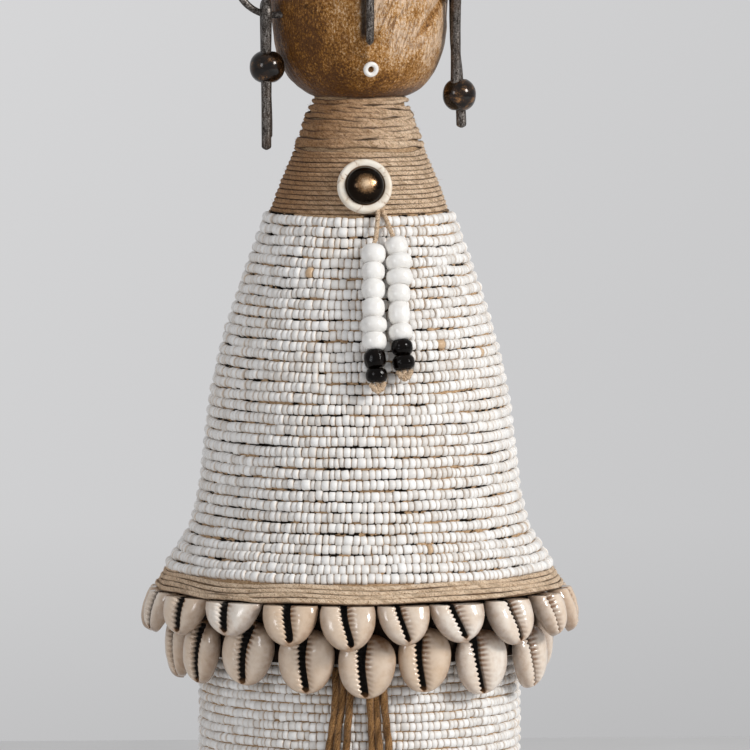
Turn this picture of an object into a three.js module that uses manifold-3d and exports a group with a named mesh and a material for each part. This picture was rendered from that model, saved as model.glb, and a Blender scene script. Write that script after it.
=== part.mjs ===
import * as THREE from "three";
import { mergeVertices } from "three/addons/utils/BufferGeometryUtils.js";
import Module from "manifold-3d";

// A beaded namji doll. Millimetres, +Z up, the face looks along -Y.
// The origin is the middle of the foot's underside.
// A turn is an angle round Z from the front, positive towards +X.

const wasm = await Module();
wasm.setup();

// Foot and skirt
const FOOT_RADIUS = 45;
const FOOT_HEIGHT = 8;
const FOOT_BEVEL = 1.2;
const SKIRT_RADIUS = 46;
const SKIRT_ROWS = 36;
const SKIRT_BEADED_TOP = 101.8;
const SKIRT_SIDES = 12;

// Mantle: the silhouette of its bead rows as radius and height, from the neck to the hem
const MANTLE_TOP = 225.8;
const MANTLE_BOTTOM = 124.5;
const MANTLE_SILHOUETTE = [
  [27, MANTLE_TOP],
  [34, 205.7],
  [39.4, 188.6],
  [43.1, 171.4],
  [45.9, 148.6],
  [48.3, 137.1],
  [51.6, 131.2],
  [55.9, MANTLE_BOTTOM],
];
const MANTLE_ROWS = 35;
const MANTLE_SIDES = 12;
const ROW_GROOVE = 0.9;

// Twine at the hem, and the dark band that hangs behind it
const HEM_RADIUS = 58.4;
const HEM_UPPER_RADIUS = 54.9;
const HEM_BOTTOM = 118.2;
const HEM_WIDEST = 119;
const HEM_TURNS = 4;
const HEM_GROOVE = 0.6;
const HEM_SIDES = 16;
const HEM_TO_BAND = 0.3;
const BAND_INNER = 47;
const BAND_UPPER = 53;
const BAND_LOWER = 49.4;
const BAND_STEP = 113.2;
const BAND_STEP_RISE = 0.8;
const BAND_BOTTOM = 100.6;

// Twine on the neck: loose thick strands above, neat turns on the shoulders below
const NECK_TOP = 258.6;
const NECK_SILHOUETTE = [
  [25.6, MANTLE_TOP],
  [22.8, 233.6],
  [18.4, 244],
  [15.6, 251.6],
  [14, 255.5],
  [14, NECK_TOP],
];
const NECK_TURNS = 13;
const NECK_SIDES = 10;
const NECK_GROOVE = 0.7;

// Cowry shells. Those in front are given by turn, width, turn of the slit side, place of the slit as a share
// of the half width, roll and height. What rises over the ceiling is cut off level under the hem.
const SHELL_CEILING = 117.9;
const UPPER = {
  length: 17, depth: 5.9, tilt: 24, back: 56.2, height: 113, count: 20, width: 14.8,
  seen: [
    [-78.8, 13, -70.8, -0.1, -10, 113.9],
    [-60.9, 16.2, -50.9, -0.08, -9, 114.8],
    [-41.1, 17.2, -31.1, -0.25, -10, 116],
    [-23, 15.7, -14.1, -0.12, -3, 114.1],
    [-6.4, 15.7, -3.9, -0.15, 2, 113],
    [9.4, 14.7, 5.7, -0.26, 5, 114.5],
    [25.5, 15.8, 15.5, -0.26, 9, 114.8],
    [44.1, 15.2, 34.1, -0.13, 6, 113],
    [64, 12.5, 54, -0.38, 8, 113.6],
    [85, 14.4, 76, -0.1, 8, 112.8],
  ],
};
const LOWER = {
  length: 18.6, depth: 5.4, tilt: 2, back: 50.4, height: 100.8, count: 19, width: 14.2,
  seen: [
    [-82, 14.4, -74, -0.1, -8, 102.4],
    [-62.2, 13.8, -54.2, -0.05, -15, 101.9],
    [-40.4, 16.1, -32.4, -0.12, -16, 103],
    [-20, 16, -12.2, -0.15, -4, 101.6],
    [-0.9, 16.2, -0.6, -0.22, -4, 100.4],
    [17.5, 15.2, 10.7, -0.27, -2, 101.9],
    [38.2, 16.8, 30.2, -0.3, 5, 100.3],
    [64.6, 15.6, 56.7, -0.32, 12, 100],
    [88.5, 13.6, 82, -0.1, 4, 103.4],
  ],
};
const HIDDEN_SLIT = -0.15;
const HIDDEN_ROLL = 5;
const HIDDEN_DROP = 0.5;

// A shell's section has seven points: the slit's floor, two lips, two edges and two corners of the flat back
const SHELL_POINTS = 7;
const SHELL_RINGS = 5;
const SHELL_OVAL = 2.2;
const SHELL_EGG = 0.1;
const SHELL_LIP = 0.42;
const SHELL_BACK = 0.72;
const SHELL_EDGE = 0.36;
const SHELL_TIP = 0.18;
const SHELL_SLIT_DEPTH = 1.7;

// Head: an oval, widest at one height, with an arched dome above and a fuller jaw below
const HEAD_WIDEST = 288;
const HEAD_CROWN = 326;
const HEAD_CHIN = 256.9;
const JAW_POWER = 3;
const HEAD_HALF_WIDTH = 25.1;
const FACE_DEPTH = 23;
const NAPE_DEPTH = 26;
const FACE_RIDGE = 1.8;
const FACE_RIDGE_REACH = 11;
const HEAD_TURN = 3;
const HAIR_RISE = 1.2;
const HAIRLINE_FRONT = 312;
const HAIRLINE_NAPE = 276;
const CREST_TOP = 338;
const CREST_THICKNESS = 6;
const CREST_FROM = 38;
const CREST_TO = 158;
const CREST_STEPS = 8;
const CREST_ROOT = 0.82;
const HEAD_SIDES = 16;
const HEAD_RINGS = 12;
const HAIR_EDGE = 1.5;

// Face pieces
const NOSE_TOP = 306;
const NOSE_BOTTOM = 274.3;
const NOSE_RADIUS = 1.15;
const RING_BEAD_RADIUS = 1.55;
const RING_BEAD_TUBE = 0.7;
const RING_BEAD_LIFT = 0.6;
const MOUTH_HEIGHT = 267.6;
const MOUTH_TURN = 1.4;
const MOUTH_UPRIGHT = 0.6;
const EYE_HEIGHT = 296;
const EYE_TURN = 24;
const FACE_GAP = 0.3;

// Ear rings, the hairpins that hang on them and the bead that clamps each hairpin
const EAR_WIRE_RADIUS = 1;
const EAR_RING_RADIUS = 10.6;
const EAR_PLANE = -8;
const EAR_LEG = 5.5;
const EAR_HOLE_RADIUS = 1.3;
const EAR_HOLE_SHIFT = 0.3;
const EAR_RING_STEPS = 9;
const PIN_WIRE_RADIUS = 1.45;
const PIN_BEND_RADIUS = 3.15;
const PIN_LEG_OFFSET = 1.62;
const PIN_CLOSED = 8;
const PIN_STEPS = 16;
const EAR_BEAD_BORE = 3.6;
const EAR_BEAD_SHOULDER = 0.78;
const EAR_BEAD_GIRDLE = 0.45;
const BEAD_SHIFT = 0.61;

// The back leg of a hairpin leans towards +X at its lower end
const EARS = [
  {
    side: "left", sign: -1, ringX: -25.6, ringZ: 292.6, pinX: -27.6, frontEnd: 243.7, backEnd: 246.6,
    lean: 0.6, beadZ: 267.2, beadRadius: 5.1, beadLength: 8.7,
  },
  {
    side: "right", sign: 1, ringX: 24.9, ringZ: 297.6, pinX: 26.5, frontEnd: 256, backEnd: 249.5,
    lean: 2, beadZ: 259, beadRadius: 4.75, beadLength: 8.7,
  },
];

// Brooch
const DISC_RADIUS = 7.85;
const DISC_THICKNESS = 3.1;
const DISC_RECESS = 5.6;
const DISC_FLOOR = 2.6;
const DISC_BEVEL = 0.65;
const STUD_RADIUS = 5.3;
const STUD_HEIGHT = 4;
const BROOCH_HEIGHT = 233.7;
const BROOCH_LIFT = 14;
const BROOCH_TURN = 3;
const BROOCH_GAP = 0.95;

// Pendants: each route is a list of turn, height and distance from the silhouette below it
const PENDANT_KNOT = [9.4, 226.6, 1.5];
const PENDANT_LEFT = [
  [7.2, 225, 1.9], [5.3, 220.5, 3.4], [3.4, 216.1, 4.2], [2.5, 201.2, 4.5], [2.5, 187, 4.4], [3.4, 178, 4.3],
];
const PENDANT_RIGHT = [
  [11.8, 225.4, 1.9], [13.4, 221, 3.6], [14.6, 218.2, 4.2], [14.7, 211, 4.5], [12.8, 199, 4.5],
  [13.2, 182, 4.3],
];
const CORD_RADIUS = 0.65;
const WHITE_BEAD = { radius: 3.5, length: 5.15 };
const BLACK_BEAD = { radius: 3.1, length: 4.25 };
const KNOT = { radius: 2.1, length: 3 };
const TOP_KNOT_RADIUS = 0.95;
const BEAD_WAIST = 0.95;
const BEAD_SHOULDER = 0.3;
const BEAD_STEP = 0.02;
const WHITE_BEADS = 6;
const BLACK_BEADS = 2;
const PENDANT_SIDES = 6;

// Tails: two flat tails of three strands, tied together behind the lowest shell
const STRAND_RADIUS = 1.05;
const STRANDS = 3;
const TAIL_GAP = 0.35;
const TAIL_TOP = 99.6;
const TAIL_TIE_BOTTOM = 96.9;
const TAIL_TIE_DEPTH = 1.7;
const TAIL_BOTTOM = 15;
const TAIL_ROUTES = [
  [[-7.2, TAIL_TOP], [-7.4, 90], [-8.9, 75], [-9.4, 55], [-8.7, 35], [-9.3, TAIL_BOTTOM]],
  [[2.2, TAIL_TOP], [2.3, 90], [3.3, 75], [4.1, 55], [3.6, 35], [4.4, TAIL_BOTTOM]],
];

const radians = THREE.MathUtils.degToRad;

function paint(colour, roughness, metalness = 0) {
  return new THREE.MeshStandardMaterial({ color: colour, roughness, metalness });
}

const PAINTS = {
  wood: paint(0x9a6a3c, 0.5),
  footWood: paint(0x5b3a22, 0.6),
  twine: paint(0xa98a63, 0.95),
  seedBead: paint(0xe6e3de, 0.35),
  leather: paint(0x3a281a, 0.9),
  shell: paint(0xe3d4c0, 0.25),
  bone: paint(0xe9e1d0, 0.45),
  bronze: paint(0x5a4128, 0.3, 0.9),
  iron: paint(0x3b3a39, 0.45, 0.8),
  whiteBead: paint(0xf3f1ec, 0.2),
};

function around(turn, radius, height) {
  const angle = radians(turn);
  return new THREE.Vector3(radius * Math.sin(angle), -radius * Math.cos(angle), height);
}

function asSolid(geometry) {
  const bare = geometry.index ? geometry.clone() : geometry;
  bare.deleteAttribute("normal");
  bare.deleteAttribute("uv");
  const merged = mergeVertices(bare, 1e-4);
  return new wasm.Manifold(new wasm.Mesh({
    numProp: 3,
    vertProperties: merged.attributes.position.array,
    triVerts: new Uint32Array(merged.index.array),
  }));
}

function asGeometry(solid) {
  const mesh = solid.getMesh();
  const geometry = new THREE.BufferGeometry();
  geometry.setAttribute("position", new THREE.BufferAttribute(mesh.vertProperties, 3));
  geometry.setIndex(new THREE.BufferAttribute(mesh.triVerts, 1));
  geometry.computeVertexNormals();
  return geometry;
}

// Every vertex goes where the function sends it
function reshape(geometry, move) {
  const places = geometry.attributes.position;
  for (let i = 0; i < places.count; i += 1) {
    const moved = move(new THREE.Vector3().fromBufferAttribute(places, i));
    places.setXYZ(i, moved.x, moved.y, moved.z);
  }
  geometry.computeVertexNormals();
  return geometry;
}

// A solid of revolution round Z from an outline of radius and height that runs upwards
function turned(outline, sides) {
  const points = outline.map(([radius, height]) => new THREE.Vector2(radius, height));
  return new THREE.LatheGeometry(points, sides).rotateX(Math.PI / 2);
}

// A silhouette cut into equal rows along its length, with a groove between one row and the next
function ribbed(silhouette, rows, groove) {
  const curve = new THREE.SplineCurve(silhouette.map(([radius, height]) => new THREE.Vector2(radius, height)));
  const outline = [];
  for (let half = 0; half <= 2 * rows; half += 1) {
    const share = half / (2 * rows);
    const point = curve.getPointAt(share);
    const inward = half % 2 === 0 ? groove : 0;
    outline.push([point.x - inward, point.y]);
  }
  return outline;
}

function silhouetteRadius(silhouette, height) {
  const curve = new THREE.SplineCurve(silhouette.map(([radius, z]) => new THREE.Vector2(radius, z)));
  let low = 0;
  let high = 1;
  const falling = curve.getPoint(1).y < curve.getPoint(0).y;
  for (let step = 0; step < 24; step += 1) {
    const middle = (low + high) / 2;
    const above = curve.getPoint(middle).y > height;
    if (above === falling) {
      low = middle;
    } else {
      high = middle;
    }
  }
  return curve.getPoint(low).x;
}

// A round or flat cord with flat ends along a list of points
function tube(points, radius, sides, steps, flatness = 1) {
  const section = new THREE.Shape();
  for (let side = 0; side < sides; side += 1) {
    const angle = (2 * Math.PI * (side + 0.5)) / sides;
    const x = radius * flatness * Math.cos(angle);
    const y = radius * Math.sin(angle);
    if (side === 0) {
      section.moveTo(x, y);
    } else {
      section.lineTo(x, y);
    }
  }
  section.closePath();
  const path = new THREE.CatmullRomCurve3(points);
  return new THREE.ExtrudeGeometry(section, { steps, extrudePath: path, curveSegments: 1 });
}

function footOutline() {
  return [
    [0, 0],
    [FOOT_RADIUS - FOOT_BEVEL, 0],
    [FOOT_RADIUS, FOOT_BEVEL],
    [FOOT_RADIUS, FOOT_HEIGHT - FOOT_BEVEL],
    [FOOT_RADIUS - FOOT_BEVEL, FOOT_HEIGHT],
    [0, FOOT_HEIGHT],
  ];
}

function skirtOutline() {
  const rows = ribbed([[SKIRT_RADIUS, FOOT_HEIGHT], [SKIRT_RADIUS, SKIRT_BEADED_TOP]], SKIRT_ROWS, ROW_GROOVE);
  const plainTop = [[SKIRT_RADIUS - ROW_GROOVE, MANTLE_BOTTOM], [0, MANTLE_BOTTOM]];
  return [[0, FOOT_HEIGHT], ...rows, ...plainTop];
}

function mantleOutline() {
  const rows = ribbed(MANTLE_SILHOUETTE, MANTLE_ROWS, ROW_GROOVE).reverse();
  return [[0, MANTLE_BOTTOM], ...rows, [0, MANTLE_TOP]];
}

function neckOutline() {
  const turns = ribbed(NECK_SILHOUETTE, NECK_TURNS, NECK_GROOVE);
  return [[0, MANTLE_TOP], ...turns, [0, NECK_TOP]];
}

function hemOutline() {
  const flare = [[HEM_RADIUS, HEM_BOTTOM], [HEM_RADIUS, HEM_WIDEST], [HEM_UPPER_RADIUS, MANTLE_BOTTOM]];
  const turns = ribbed(flare, HEM_TURNS, HEM_GROOVE);
  const inner = BAND_UPPER + HEM_TO_BAND;
  return [[inner, HEM_BOTTOM], ...turns, [inner, MANTLE_BOTTOM], [inner, HEM_BOTTOM]];
}

function bandOutline() {
  return [
    [BAND_INNER, BAND_BOTTOM],
    [BAND_LOWER, BAND_BOTTOM],
    [BAND_LOWER, BAND_STEP],
    [BAND_UPPER, BAND_STEP + BAND_STEP_RISE],
    [BAND_UPPER, MANTLE_BOTTOM],
    [BAND_INNER, MANTLE_BOTTOM],
    [BAND_INNER, BAND_BOTTOM],
  ];
}

// Half width of the head at a height, as a share of its greatest
function headShare(height) {
  const upper = height > HEAD_WIDEST;
  const reach = upper ? HEAD_CROWN - HEAD_WIDEST : HEAD_WIDEST - HEAD_CHIN;
  const power = upper ? 2 : JAW_POWER;
  const away = Math.min(1, Math.abs(height - HEAD_WIDEST) / reach);
  return (1 - away ** power) ** (1 / power);
}

// A point on the head: an oval section, two planes that meet in a ridge down the face,
// and hair that stands a little proud above a line from the brow to the nape
function headPoint(turn, height, share = headShare(height)) {
  const angle = radians(turn);
  const front = (Math.cos(angle) + 1) / 2;
  const hairline = HAIRLINE_NAPE + (HAIRLINE_FRONT - HAIRLINE_NAPE) * front ** 1.5;
  const hair = HAIR_RISE * THREE.MathUtils.smoothstep(height, hairline - HAIR_EDGE, hairline + HAIR_EDGE);
  const depth = Math.cos(angle) > 0 ? FACE_DEPTH : NAPE_DEPTH;
  const x = (HEAD_HALF_WIDTH + hair) * share * Math.sin(angle);
  const y = -(depth + hair) * share * Math.cos(angle);
  const ridge = Math.cos(angle) > 0 ? Math.max(0, 1 - Math.abs(x) / FACE_RIDGE_REACH) : 0;
  return new THREE.Vector3(x, y - FACE_RIDGE * ridge * share, height);
}

function headNormal(turn, height) {
  const here = headPoint(turn, height);
  const beside = headPoint(turn + 2, height).sub(here);
  const above = headPoint(turn, height + 1).sub(here);
  return beside.cross(above).normalize();
}

function headBody() {
  const oval = new THREE.SphereGeometry(1, HEAD_SIDES, HEAD_RINGS).rotateX(Math.PI / 2);
  return reshape(oval, (point) => {
    const reach = point.z > 0 ? HEAD_CROWN - HEAD_WIDEST : HEAD_WIDEST - HEAD_CHIN;
    const height = Math.max(NECK_TOP, HEAD_WIDEST + reach * point.z);
    const pole = Math.abs(point.z) > 0.9999;
    const turn = THREE.MathUtils.radToDeg(Math.atan2(point.x, -point.y));
    return headPoint(turn, height, pole ? 0 : headShare(height));
  });
}

// A low crest from the brow over the crown to the nape. It rises out of the head and sinks into it again.
function headCrest() {
  const rise = (CREST_TOP - HEAD_WIDEST) / (HEAD_CROWN - HEAD_WIDEST) - 1;
  const outline = (share, scale) => {
    const angle = radians(CREST_FROM + (CREST_TO - CREST_FROM) * share);
    const depth = Math.cos(angle) > 0 ? FACE_DEPTH : NAPE_DEPTH;
    const y = -depth * Math.cos(angle) * scale;
    const z = HEAD_WIDEST + (HEAD_CROWN - HEAD_WIDEST) * Math.sin(angle) * scale;
    return new THREE.Vector2(y, z);
  };
  const points = [];
  for (let step = 0; step <= CREST_STEPS; step += 1) {
    const share = step / CREST_STEPS;
    points.push(outline(share, 1 + rise * Math.sin(Math.PI * share)));
  }
  points.push(outline(1, CREST_ROOT), outline(0.5, CREST_ROOT), outline(0, CREST_ROOT));
  const shape = new THREE.Shape(points);
  const crest = new THREE.ExtrudeGeometry(shape, { depth: CREST_THICKNESS, bevelEnabled: false });
  crest.translate(0, 0, -CREST_THICKNESS / 2);
  return crest.applyMatrix4(new THREE.Matrix4().makeBasis(
    new THREE.Vector3(0, 1, 0),
    new THREE.Vector3(0, 0, 1),
    new THREE.Vector3(1, 0, 0),
  ));
}

// The head with a drilled hole for each end of each ear ring
function carvedHead() {
  let head = asSolid(headBody()).add(asSolid(headCrest()));
  for (const ear of EARS) {
    for (const way of [-1, 1]) {
      const bit = new THREE.CylinderGeometry(EAR_HOLE_RADIUS, EAR_HOLE_RADIUS, 2 * EAR_LEG, 6);
      bit.rotateZ(Math.PI / 2);
      bit.translate(ear.ringX - ear.sign * EAR_HOLE_SHIFT, EAR_PLANE, ear.ringZ + way * EAR_RING_RADIUS);
      head = head.subtract(asSolid(bit));
    }
  }
  return asGeometry(head);
}

function noseStrip() {
  const points = [];
  for (let step = 0; step <= 5; step += 1) {
    const height = NOSE_BOTTOM + ((NOSE_TOP - NOSE_BOTTOM) * step) / 5;
    const lift = headNormal(0, height).multiplyScalar(NOSE_RADIUS + FACE_GAP);
    points.push(headPoint(0, height).add(lift));
  }
  return tube(points, NOSE_RADIUS, 6, 5);
}

function ringBead() {
  return new THREE.TorusGeometry(RING_BEAD_RADIUS, RING_BEAD_TUBE, 5, 7);
}

// A half circle outside the head, with a straight leg into each hole
function earRing(ear) {
  const points = [];
  const bottom = ear.ringZ - EAR_RING_RADIUS;
  const top = ear.ringZ + EAR_RING_RADIUS;
  const inner = ear.ringX - ear.sign * EAR_LEG;
  points.push(new THREE.Vector3(inner, EAR_PLANE, bottom));
  for (let step = 0; step <= 6; step += 1) {
    const angle = (Math.PI * step) / 6;
    const x = ear.ringX + ear.sign * EAR_RING_RADIUS * Math.sin(angle);
    const z = ear.ringZ - EAR_RING_RADIUS * Math.cos(angle);
    points.push(new THREE.Vector3(x, EAR_PLANE, z));
  }
  points.push(new THREE.Vector3(inner, EAR_PLANE, top));
  return tube(points, EAR_WIRE_RADIUS, 6, EAR_RING_STEPS);
}

// A hairpin: up the front leg, over the ring in a half circle, and down the back leg, which leans
function earPin(ear) {
  const reach = Math.abs(ear.pinX - ear.ringX);
  const wireHeight = ear.ringZ - Math.sqrt(EAR_RING_RADIUS ** 2 - reach ** 2);
  const points = [];
  const leg = (way, height, offset) => {
    const low = THREE.MathUtils.smoothstep(wireHeight - height, PIN_CLOSED, wireHeight - ear.backEnd);
    const lean = way > 0 ? ear.lean * low : 0;
    return new THREE.Vector3(ear.pinX + lean, EAR_PLANE + way * offset, height);
  };
  points.push(leg(-1, ear.frontEnd, PIN_LEG_OFFSET));
  points.push(leg(-1, wireHeight - PIN_CLOSED, PIN_LEG_OFFSET));
  for (let step = 0; step <= 4; step += 1) {
    const angle = (Math.PI * step) / 4;
    const height = wireHeight + PIN_BEND_RADIUS * Math.sin(angle);
    points.push(leg(-1, height, PIN_BEND_RADIUS * Math.cos(angle)));
  }
  points.push(leg(1, wireHeight - PIN_CLOSED, PIN_LEG_OFFSET));
  points.push(leg(1, ear.beadZ, PIN_LEG_OFFSET));
  points.push(leg(1, ear.backEnd, PIN_LEG_OFFSET));
  return tube(points, PIN_WIRE_RADIUS, 6, PIN_STEPS);
}

function earBead(ear) {
  const half = ear.beadLength / 2;
  const shoulder = EAR_BEAD_SHOULDER * ear.beadRadius;
  const outline = [
    [EAR_BEAD_BORE, -half],
    [shoulder, -half],
    [ear.beadRadius, -EAR_BEAD_GIRDLE * half],
    [ear.beadRadius, EAR_BEAD_GIRDLE * half],
    [shoulder, half],
    [EAR_BEAD_BORE, half],
    [EAR_BEAD_BORE, -half],
  ];
  return turned(outline, 10);
}

function discOutline() {
  return [
    [0, 0],
    [DISC_RADIUS - DISC_BEVEL, 0],
    [DISC_RADIUS, DISC_BEVEL],
    [DISC_RADIUS, DISC_THICKNESS - DISC_BEVEL],
    [DISC_RADIUS - DISC_BEVEL, DISC_THICKNESS],
    [DISC_RECESS, DISC_THICKNESS],
    [DISC_RECESS, DISC_FLOOR],
    [0, DISC_FLOOR],
  ];
}

function studOutline() {
  const outline = [[0, 0]];
  for (let step = 0; step <= 4; step += 1) {
    const angle = (Math.PI / 2) * (step / 4);
    outline.push([STUD_RADIUS * Math.cos(angle), STUD_HEIGHT * Math.sin(angle)]);
  }
  outline[outline.length - 1][0] = 0;
  return outline;
}

// A point over the mantle's silhouette, or over the neck's where it is higher up
function overCape(turn, height, lift) {
  const silhouette = height < MANTLE_TOP ? MANTLE_SILHOUETTE : NECK_SILHOUETTE;
  return around(turn, silhouetteRadius(silhouette, height) + lift, height);
}

// Cord, beads and end knot as one outline along the route's length, then bent onto the route
function pendant(route) {
  const points = [PENDANT_KNOT, ...route].map(([turn, height, lift]) => overCape(turn, height, lift));
  const path = new THREE.CatmullRomCurve3(points);
  const length = path.getLength();
  const items = [KNOT];
  for (let bead = 0; bead < BLACK_BEADS; bead += 1) {
    items.push(BLACK_BEAD);
  }
  for (let bead = 0; bead < WHITE_BEADS; bead += 1) {
    items.push(WHITE_BEAD);
  }
  const outline = [[0, 0]];
  let from = 0;
  for (const item of items) {
    outline.push([BEAD_WAIST, from + BEAD_STEP]);
    outline.push([item.radius, from + BEAD_SHOULDER * item.length]);
    outline.push([item.radius, from + (1 - BEAD_SHOULDER) * item.length]);
    from += item.length;
  }
  outline.push([CORD_RADIUS, from]);
  outline.push([CORD_RADIUS, length], [0, length]);
  const across = new THREE.Vector3(1, 0, 0);
  return reshape(turned(outline, PENDANT_SIDES), (point) => {
    const share = THREE.MathUtils.clamp(1 - point.z / length, 0, 1);
    const along = path.getTangentAt(share);
    const out = new THREE.Vector3().crossVectors(across, along).normalize();
    const side = new THREE.Vector3().crossVectors(along, out);
    return path.getPointAt(share).addScaledVector(side, point.x).addScaledVector(out, point.y);
  });
}

function beadPendants() {
  const [turn, height, lift] = PENDANT_KNOT;
  const middle = overCape(turn, height, lift);
  const knot = new THREE.SphereGeometry(TOP_KNOT_RADIUS, 6, 5).translate(middle.x, middle.y, middle.z);
  const strings = asSolid(pendant(PENDANT_LEFT)).add(asSolid(pendant(PENDANT_RIGHT)));
  return asGeometry(strings.add(asSolid(knot)));
}

// One tail: three strands side by side, flat on the skirt
function tail(route) {
  const outward = SKIRT_RADIUS + STRAND_RADIUS + TAIL_GAP;
  const points = route.map(([x, z]) => new THREE.Vector3(x, -Math.sqrt(outward ** 2 - x ** 2), z));
  return tube(points, STRANDS * STRAND_RADIUS, 8, 6, 1 / STRANDS);
}

function frontTails() {
  const [left, right] = TAIL_ROUTES.map((route) => tail(route));
  const width = TAIL_ROUTES[1][0][0] - TAIL_ROUTES[0][0][0];
  const tie = new THREE.BoxGeometry(width, TAIL_TIE_DEPTH, TAIL_TOP - TAIL_TIE_BOTTOM);
  const middle = (TAIL_ROUTES[1][0][0] + TAIL_ROUTES[0][0][0]) / 2;
  const outward = SKIRT_RADIUS + STRAND_RADIUS + TAIL_GAP;
  tie.translate(middle, -outward, (TAIL_TOP + TAIL_TIE_BOTTOM) / 2);
  return asGeometry(asSolid(left).add(asSolid(tie)).add(asSolid(right)));
}

// A cowry with its back cut off flat: a sphere drawn into an egg, with its points round it moved to the
// section's corners. The slit may lie beside the middle.
function cowry(row, width, slit) {
  const across = [slit, slit + SHELL_LIP, 1, SHELL_BACK, -SHELL_BACK, -1, slit - SHELL_LIP];
  const outward = [1, 1, SHELL_EDGE, 0, 0, SHELL_EDGE, 1];
  const egg = new THREE.SphereGeometry(1, SHELL_POINTS, SHELL_RINGS).rotateX(Math.PI / 2);
  return reshape(egg, (point) => {
    const share = point.z;
    const pole = Math.abs(share) > 0.9999;
    const oval = (1 - Math.min(1, Math.abs(share)) ** SHELL_OVAL) ** (1 / SHELL_OVAL);
    const fullness = pole ? 0 : oval * (1 + SHELL_EGG * share);
    const meridian = Math.round((SHELL_POINTS * Math.atan2(point.x, -point.y)) / (2 * Math.PI));
    const corner = (meridian + SHELL_POINTS) % SHELL_POINTS;
    const sunk = corner === 0 ? SHELL_SLIT_DEPTH * fullness : 0;
    const rise = pole ? SHELL_TIP * row.depth : row.depth * fullness ** 0.7 * outward[corner] - sunk;
    return new THREE.Vector3((width / 2) * fullness * across[corner], -rise, (share * row.length) / 2);
  });
}

// Every shell of a row: the front ones as they hang, the rest evenly round the back
function rowPlaces(row) {
  const [first] = row.seen[0];
  const [last] = row.seen[row.seen.length - 1];
  const hidden = row.count - row.seen.length;
  const step = (360 + first - last) / (hidden + 1);
  const places = [...row.seen];
  for (let shell = 1; shell <= hidden; shell += 1) {
    const turn = last + shell * step;
    const swing = Math.sin(2.4 * shell);
    places.push([turn, row.width, turn, HIDDEN_SLIT, HIDDEN_ROLL * swing, row.height + HIDDEN_DROP * swing]);
  }
  return places;
}

const doll = new THREE.Group();

function place(parent, name, geometry, material) {
  const mesh = new THREE.Mesh(geometry, material.clone());
  mesh.name = name;
  parent.add(mesh);
  return mesh;
}

function addShells(row, prefix) {
  rowPlaces(row).forEach(([turn, width, face, slit, roll, height], index) => {
    const hung = new THREE.Euler(-radians(row.tilt), -radians(roll), radians(face), "ZXY");
    const shell = cowry(row, width, slit).applyMatrix4(new THREE.Matrix4().makeRotationFromEuler(hung));
    const spot = around(turn, row.back, height);
    shell.translate(spot.x, spot.y, spot.z);
    const cut = asSolid(shell).trimByPlane([0, 0, -1], -SHELL_CEILING);
    place(doll, `${prefix}_${String(index + 1).padStart(2, "0")}`, asGeometry(cut), PAINTS.shell);
  });
}

place(doll, "wooden_foot", turned(footOutline(), SKIRT_SIDES), PAINTS.footWood);
place(doll, "bead_skirt", turned(skirtOutline(), SKIRT_SIDES), PAINTS.seedBead);
place(doll, "bead_mantle", turned(mantleOutline(), MANTLE_SIDES), PAINTS.seedBead);
place(doll, "neck_twine", turned(neckOutline(), NECK_SIDES), PAINTS.twine);
place(doll, "hem_twine", turned(hemOutline(), HEM_SIDES), PAINTS.twine);
place(doll, "shell_band", turned(bandOutline(), HEM_SIDES), PAINTS.leather);
addShells(UPPER, "cowry_upper");
addShells(LOWER, "cowry_lower");
place(doll, "bead_pendants", beadPendants(), PAINTS.whiteBead);
place(doll, "front_tails", frontTails(), PAINTS.twine);

const brooch = new THREE.Group();
brooch.position.copy(around(0, silhouetteRadius(NECK_SILHOUETTE, BROOCH_HEIGHT) + BROOCH_GAP, BROOCH_HEIGHT));
brooch.rotation.set(radians(90 - BROOCH_LIFT), 0, radians(BROOCH_TURN), "ZYX");
place(brooch, "brooch_disc", turned(discOutline(), 12), PAINTS.bone);
place(brooch, "brooch_stud", turned(studOutline(), 10), PAINTS.bronze).position.z = DISC_FLOOR;
doll.add(brooch);

const head = new THREE.Group();
head.rotation.z = radians(HEAD_TURN);
place(head, "carved_head", carvedHead(), PAINTS.wood);
place(head, "nose_strip", noseStrip(), PAINTS.iron);
const faceBeads = [
  ["mouth_bead", MOUTH_TURN, MOUTH_HEIGHT, MOUTH_UPRIGHT],
  ["eye_bead_left", -EYE_TURN, EYE_HEIGHT, 0],
  ["eye_bead_right", EYE_TURN, EYE_HEIGHT, 0],
];
for (const [name, turn, height, upright] of faceBeads) {
  const bead = place(head, name, ringBead(), PAINTS.whiteBead);
  const normal = headNormal(turn, height);
  const lift = RING_BEAD_TUBE + FACE_GAP + RING_BEAD_LIFT * upright;
  bead.position.copy(headPoint(turn, height)).addScaledVector(normal, lift);
  const facing = normal.multiply(new THREE.Vector3(1, 1, 1 - upright)).normalize();
  bead.quaternion.setFromUnitVectors(new THREE.Vector3(0, 0, 1), facing);
}
for (const ear of EARS) {
  place(head, `ear_ring_${ear.side}`, earRing(ear), PAINTS.iron);
  place(head, `ear_pin_${ear.side}`, earPin(ear), PAINTS.iron);
  const bead = place(head, `ear_bead_${ear.side}`, earBead(ear), PAINTS.bronze);
  bead.position.set(ear.pinX + ear.lean * BEAD_SHIFT, EAR_PLANE, ear.beadZ);
}
doll.add(head);

export default doll;
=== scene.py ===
import bpy
import numpy as np
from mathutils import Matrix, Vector


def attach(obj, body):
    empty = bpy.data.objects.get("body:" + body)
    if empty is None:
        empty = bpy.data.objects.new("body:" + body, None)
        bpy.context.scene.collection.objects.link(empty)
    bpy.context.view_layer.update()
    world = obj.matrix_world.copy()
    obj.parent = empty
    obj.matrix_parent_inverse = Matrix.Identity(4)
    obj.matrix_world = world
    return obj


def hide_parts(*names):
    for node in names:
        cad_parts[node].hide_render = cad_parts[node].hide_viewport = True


# The looks of a beaded namji doll. Millimetres, +Z up, the face looks along -Y.
# A turn is an angle round Z from the front, in degrees, positive towards +X.

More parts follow.
